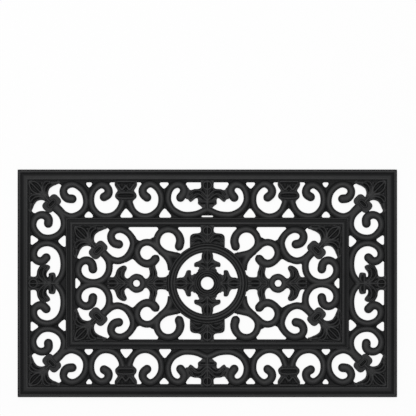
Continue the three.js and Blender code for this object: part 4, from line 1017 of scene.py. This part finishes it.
bars, slab = bmesh.new(), bmesh.new()
for shares in (FIELD_UPPER, FIELD_LOWER):
    add_bar(bars, slab, in_field(shares), width=FIELD_BAR_WIDTH, root_width=TRUNK_WIDTH)
for shares in (TOUCH_WEB, NEAR_MEETING, FAR_MEETING, *FIELD_LIPS):
    add_plate(slab, in_field(shares), WEB_TOP)
add_field_strips(slab)
field_cell = [
    ((FIELD_CONTACT, 0, 0), (-1, 0, 0)),
    ((0, 0, 0), (0, -1, 0)),
    ((0, INNER_OPENING.y + LIP_WIDTH, 0), (0, 1, 0)),
    ((INNER_OPENING.x + LIP_WIDTH, 0, 0), (1, 0, 0)),
]
lay_copies(trimmed(moulded_scrolls(bars, slab), field_cell), "field_corner_scrolls", QUARTERS)

bars, slab = bmesh.new(), bmesh.new()
for shares, turn in ((UPPER_HOOK, 1), (LOWER_HOOK, 0)):
    places = [around_ring(0.96, turn)] + in_field(shares)
    add_bar(bars, slab, places, width=FIELD_BAR_WIDTH, root_height=HOOK_ROOT_HEIGHT)
for shares in (TOUCH_WEB, SHOULDER_WEB, *HOOK_LIPS):
    add_plate(slab, in_field(shares), WEB_TOP)
add_plate(slab, [around_ring(reach, turn) for reach, turn in ROOT_WEB], WEB_TOP)
add_field_strips(slab)
hook_cell = [
    ((FIELD_CONTACT, 0, 0), (1, 0, 0)),
    ((0, 0, 0), (0, -1, 0)),
    ((0, INNER_OPENING.y + LIP_WIDTH, 0), (0, 1, 0)),
]
lay_copies(trimmed(moulded_scrolls(bars, slab), hook_cell), "field_hooks", QUARTERS)


# Field palmettes: a bud over two ribbed lobes, between the medallion's ring and the inner frame.
# They are moulded as the border's are.

FIELD_EDGE = [
    (30, 62), (34, 68), (34.5, 74), (34.6, 80), (34.6, 88), (33.5, 94), (30, 97.3), (25, 98.6),
    (19, 99.2), (14.2, 100.8), (12.7, 105), (12.7, 117),
]
FIELD_BUD = 104
FIELD_STEM_WIDTH = 0.0046
RING_GROOVE = 0.0015
FIELD_HOLLOWS = [
    bud_hollow(FIELD_BUD),
    ([(7, 95), (5.8, 90.6), (4.4, 86), (3.4, 82)], 0.0026, 0.4),
    ([(9.5, 86.2), (14.8, 91.7), (20.2, 93.6), (25.5, 92.2), (29.6, 88)], 0.0025, 0.3),
    ([(6.4, 79.8), (11.2, 82.8), (16.6, 84.4), (22, 83.5), (27.3, 80.6)], 0.0022, 0.3),
]
FIELD_MIDRIB = [(0, 95), (0, 104), (0, 117)]
FIELD_STEM = [(0, 70), (0, 84), (0, 96)]
FIELD_RIBS = [
    [(2, 83), (7, 91), (13, 95.6), (20, 97), (27, 95.3), (31.5, 90)],
    [(2, 76), (9, 84.3), (16, 88.6), (23, 88.2), (30, 83.5)],
    [(3, 73.5), (10, 78), (17, 79.8), (24, 78.6), (30, 74.5)],
]


def field_places(shares):
    """Field drawing: across and back from the mat's centre, in field steps."""
    return [Vector((x * FIELD_STEP, y * FIELD_STEP, 0)) for x, y in shares]


def cut_at_ring(mesh):
    """Sinks the foot of a section to a low web where it meets the medallion's ring."""
    foot = bmesh.new()
    reach = RING_RADIUS + RING_GROOVE
    bmesh.ops.create_cone(
        foot, cap_ends=True, segments=160, radius1=reach, radius2=reach, depth=THICKNESS,
        matrix=Matrix.Translation((0, 0, WEB_TOP + THICKNESS / 2)),
    )
    return cut(mesh, foot)


field_palmette = carved(field_places, FIELD_EDGE, FIELD_HOLLOWS)
add_ring_rib(field_palmette, field_places(bud(FIELD_BUD)))
add_rib(field_palmette, field_places(FIELD_MIDRIB), width=MIDRIB_WIDTH, tip=1, top=STEM_TOP)
add_rib(field_palmette, field_places(FIELD_STEM), width=FIELD_STEM_WIDTH, tip=0.8, top=STEM_TOP)
add_rib_pairs(field_palmette, field_places, FIELD_RIBS)
field_lip_cell = [((0, INNER_OPENING.y + LIP_WIDTH, 0), (0, 1, 0))]
field_palmette_mesh = trimmed(cut_at_ring(ornament(field_palmette)), field_lip_cell)
lay_copies(field_palmette_mesh, "field_palmette", BACK_AND_FRONT)


# Side rosettes: a bored boss between two buds, with a pair of horns on each side of it, lying
# between the medallion's ring and the point where the corner scrolls meet.

ROSETTE_STEP = (INNER_OPENING.x - RING_RADIUS) / 182
ROSETTE_BORE_RADIUS = 0.0066
BORE_LENGTH = 0.04  # enough to go right through
ROSETTE_RING_RADIUS = 0.0124
ROSETTE_RING_WIDTH = 0.0108
ROSETTE_MIDDLE = 61

# Drawn in field steps across, and in rosette steps out from the medallion's ring
ROSETTE_EDGE = [
    (17, -6), (16, 0), (13.2, 3), (12.1, 9), (12.1, 15.5), (13.8, 19.2), (21, 20), (31, 23.2),
    (40, 25), (40, 38), (31, 37), (21, 35), (15, 36), (10.8, 39), (9.2, 42), (10.2, 45), (15, 49),
    (18.3, 56), (18.8, 64), (15, 71.5), (11, 76), (9.8, 79.5), (12, 84), (20, 84), (29.5, 80),
    (34, 82), (35.3, 86), (33, 93), (27, 99.5), (15.5, 104), (12.3, 107.5), (13, 114), (15, 118),
]
ROSETTE_HOLLOWS = [
    ([(3, 6), (4.2, 14), (3, 23)], 0.0024, 0.3),
    ([(4.6, 36.5), (7, 30.8), (11.8, 27), (18.7, 25.2), (27, 26)], 0.0022, 0.5),
    ([(9.5, 35), (14.5, 32.6), (20, 31.8), (27, 32)], 0.0017, 0.4),
    ([(4.5, 81), (8, 88), (14.5, 93), (22, 93.4), (29, 89)], 0.0018, 0.4),
    ([(3, 102), (4.4, 109), (3.6, 116)], 0.0024, 0.3),
]
ROSETTE_RIBS = [
    [(1.5, 27), (7, 22), (8.5, 14), (8, 4)],
    [(3, 39), (9, 30), (16, 27.8), (24, 28.3), (33, 31)],
    [(3, 78), (10, 84), (16, 87), (22, 86), (27, 83)],
    [(2, 84), (8, 93), (14, 98), (22, 98), (29, 94), (33, 88)],
    [(1, 97), (7, 103), (8.5, 110), (8, 118)],
]
ROSETTE_STEMS = [[(0, 40), (0, 25), (0, 2)], [(0, 80), (0, 98), (0, 118)]]


def rosette_places(shares):
    """Places of a rosette's drawing, on the right of the medallion."""
    return [
        Vector((RING_RADIUS + along * ROSETTE_STEP, across * FIELD_STEP, 0)) for across, along in shares
    ]


rosette_middle = rosette_places([(0, ROSETTE_MIDDLE)])[0]
rosette_ring = [rosette_middle + Vector((x, y, 0)) for x, y in bud(0, ROSETTE_RING_RADIUS)]

rosette = carved(rosette_places, ROSETTE_EDGE, ROSETTE_HOLLOWS)
add_ring_rib(rosette, rosette_ring, width=ROSETTE_RING_WIDTH)
add_rib_pairs(rosette, rosette_places, ROSETTE_RIBS)
for shares in ROSETTE_STEMS:
    add_rib(rosette, rosette_places(shares), width=MIDRIB_WIDTH, tip=1)
bore = bmesh.new()
bmesh.ops.create_cone(
    bore, cap_ends=True, segments=48, radius1=ROSETTE_BORE_RADIUS, radius2=ROSETTE_BORE_RADIUS,
    depth=BORE_LENGTH, matrix=Matrix.Translation(rosette_middle),
)
lay_copies(cut_at_ring(cut(ornament(rosette), bore)), "field_rosette", LEFT_AND_RIGHT)


# Medallion: a moulded ring and a bored boss, turned about one centre, with four sprays between
# them. Each spray is a pointed bud between two short hooks.

RING_WIDTH = 0.018
BOSS_RADIUS = 0.030
BOSS_BORE_RADIUS = 0.0126
RING_STUDS = 12
BOSS_STUDS = 6

# Profiles of ring and boss, each place as (in from the outer edge, above the floor)
RING_PROFILE = [
    (0, 0.001), (0, 0.0076), (0.0006, 0.0088), (0.0016, 0.0094), (0.0028, 0.0094),
    (0.0038, 0.0086), (0.0045, 0.0068), (0.0052, 0.0084), (0.0062, 0.0096), (0.0078, 0.0099),
    (0.0096, 0.0098), (0.0105, 0.0090), (0.0110, 0.0082), (0.0115, 0.0090), (0.0122, 0.0096),
    (0.0136, 0.0096), (0.0150, 0.0090), (0.0164, 0.0082), (0.0174, 0.0070), (0.0179, 0.0052),
    (0.0180, 0.001),
]
BOSS_PROFILE = [
    (0, 0.001), (0, 0.0076), (0.0006, 0.0088), (0.0014, 0.0090), (0.0021, 0.0084),
    (0.0026, 0.0070), (0.0031, 0.0084), (0.0037, 0.0094), (0.0045, 0.0097), (0.0054, 0.0094),
    (0.0060, 0.0085), (0.0064, 0.0068), (0.0069, 0.0085), (0.0076, 0.0094), (0.0086, 0.0097),
    (0.0096, 0.0094), (0.0103, 0.0085), (0.0107, 0.0068), (0.0112, 0.0085), (0.0118, 0.0094),
    (0.0127, 0.0097), (0.0137, 0.0094), (0.0143, 0.0084), (0.0147, 0.0070), (0.0152, 0.0084),
    (0.0160, 0.0091), (0.0168, 0.0089), (0.0174, 0.0078), (0.0174, 0.001),
]


def turned(profile, outer_radius, steps):
    """Turns a profile about the mat's centre."""
    mould = bmesh.new()
    verts = [mould.verts.new((outer_radius - inwards, 0, z)) for inwards, z in profile]
    edges = [mould.edges.new((a, b)) for a, b in zip(verts, verts[1:] + verts[:1])]
    bmesh.ops.spin(
        mould, geom=verts + edges, cent=(0, 0, 0), axis=(0, 0, 1), angle=math.tau, steps=steps,
        use_merge=True,
    )
    return mould


def circle_stud_places(radius, count):
    """Places of a ring of studs round the mat's centre."""
    turns = [math.tau * i / count for i in range(count)]
    return [(radius * math.cos(turn), radius * math.sin(turn)) for turn in turns]


ring = turned(RING_PROFILE, RING_RADIUS, 160)
add_studs(ring, circle_stud_places(RING_RADIUS - RING_WIDTH / 2, RING_STUDS))
lay(mesh_of(ring), "medallion_ring")
boss = turned(BOSS_PROFILE, BOSS_RADIUS, 96)
add_studs(boss, circle_stud_places((BOSS_RADIUS + BOSS_BORE_RADIUS) / 2, BOSS_STUDS))
lay(mesh_of(boss), "medallion_boss")

SPRAY_EDGE = [
    (17.5, 22), (19, 25.5), (16.3, 29.5), (17, 32), (25, 32.5), (26.3, 36), (25, 40.5),
    (15.5, 45), (12, 48.5), (11.5, 55), (10.3, 60), (11, 66),
]
SPRAY_HOLLOWS = [
    ([(2.9, 45.5), (4.2, 52), (2.8, 59.5)], 0.0019, 0.4),
    ([(3.4, 35), (6.8, 38), (12, 39.2)], 0.0026, 0.5),
    ([(3.2, 27.5), (4.6, 31)], 0.0022, 0.8),
]
SPRAY_BUD_RIM = [(0, 67), (6, 60), (7.4, 52), (4.5, 44), (0, 40), (-4.5, 44), (-7.4, 52), (-6, 60)]
SPRAY_MIDRIB = [(0, 26), (0, 45), (0, 66)]
SPRAY_RIBS = [[(2, 27), (6, 32.5), (11, 35.5), (17, 36.5), (23, 35.5)]]
SPRAY_RIM_WIDTH = 0.0034

spray = carved(field_places, SPRAY_EDGE, SPRAY_HOLLOWS)
add_ring_rib(spray, field_places(SPRAY_BUD_RIM), width=SPRAY_RIM_WIDTH)
add_rib(spray, field_places(SPRAY_MIDRIB), width=MIDRIB_WIDTH, tip=1, top=STEM_TOP)
add_rib_pairs(spray, field_places, SPRAY_RIBS)
spray_mesh = ornament(spray)
side_spray = spray_mesh.copy()
side_spray.transform(Matrix.Rotation(math.radians(-90), 4, "Z"))
lay_copies(spray_mesh, "medallion_spray", BACK_AND_FRONT)
lay_copies(side_spray, "medallion_spray", LEFT_AND_RIGHT)


# Floor, lamps and camera: a plain white floor under soft light from above, seen from straight
# above, with the long side across the picture.

FLOOR_HALF = 6
FLOOR_PALENESS = 0.75  # how far the seen floor goes from its own shaded colour to plain white
WORLD_STRENGTH = 0.18

floor_mould = bmesh.new()
bmesh.ops.create_grid(floor_mould, x_segments=1, y_segments=1, size=FLOOR_HALF)
floor = bpy.data.objects.new("floor", mesh_of(floor_mould))
bpy.context.scene.collection.objects.link(floor)
white = bpy.data.materials.new("white_floor")
white.use_nodes = True
nodes = white.node_tree.nodes
links = white.node_tree.links
nodes["Principled BSDF"].inputs["Base Color"].default_value = (0.9, 0.9, 0.9, 1)
nodes["Principled BSDF"].inputs["Roughness"].default_value = 0.9
seen = add_node(nodes, "LightPath")
seen_or_mirrored = add_node(nodes, "Math", operation="MAXIMUM")
links.new(seen.outputs["Is Camera Ray"], seen_or_mirrored.inputs[0])
links.new(seen.outputs["Is Glossy Ray"], seen_or_mirrored.inputs[1])
seen_or_clear = add_node(nodes, "Math", operation="MAXIMUM")
links.new(seen_or_mirrored.outputs[0], seen_or_clear.inputs[0])
links.new(seen.outputs["Is Transmission Ray"], seen_or_clear.inputs[1])
paleness = add_node(nodes, "Math", {1: FLOOR_PALENESS}, operation="MULTIPLY")
links.new(seen_or_clear.outputs[0], paleness.inputs[0])
glow = add_node(nodes, "Emission", {"Color": (1, 1, 1, 1), "Strength": 1.0})
blend = add_node(nodes, "MixShader")
links.new(paleness.outputs[0], blend.inputs["Fac"])
links.new(nodes["Principled BSDF"].outputs["BSDF"], blend.inputs[1])
links.new(glow.outputs["Emission"], blend.inputs[2])
links.new(blend.outputs["Shader"], nodes["Material Output"].inputs["Surface"])
floor.data.materials.append(white)

scene = bpy.context.scene
scene.view_settings.view_transform = "Standard"
world = bpy.data.worlds.new("studio")
world.use_nodes = True
world.node_tree.nodes["Background"].inputs["Color"].default_value = (1, 1, 1, 1)
world.node_tree.nodes["Background"].inputs["Strength"].default_value = WORLD_STRENGTH
scene.world = world

for name, at, size, power in (
    ("top_lamp", (0.0, 0.35, 5.0), 2.8, 212),
    ("back_lamp", (-1.2, 2.4, 3.0), 1.2, 22),
):
    lamp_data = bpy.data.lights.new(name, "AREA")
    lamp_data.shape = "SQUARE"
    lamp_data.size = size
    lamp_data.energy = power
    lamp = bpy.data.objects.new(name, lamp_data)
    lamp.location = at
    lamp.rotation_euler = (Vector((0, 0, 0)) - Vector(at)).to_track_quat("-Z", "Y").to_euler()
    scene.collection.objects.link(lamp)

SENSOR_WIDTH = 36
CAMERA_HEIGHT = 4.0
PICTURE_CENTRE = (0.0013, 0.1489)  # the mat lies low in the picture
PICTURE_WIDTH = 0.8225  # how much of the floor's length the picture takes in
camera_data = bpy.data.cameras.new("camera")
camera_data.sensor_width = SENSOR_WIDTH
camera_data.lens = SENSOR_WIDTH * (CAMERA_HEIGHT - THICKNESS / 2) / PICTURE_WIDTH
camera = bpy.data.objects.new("camera", camera_data)
camera.location = (*PICTURE_CENTRE, CAMERA_HEIGHT)
scene.collection.objects.link(camera)
scene.camera = camera
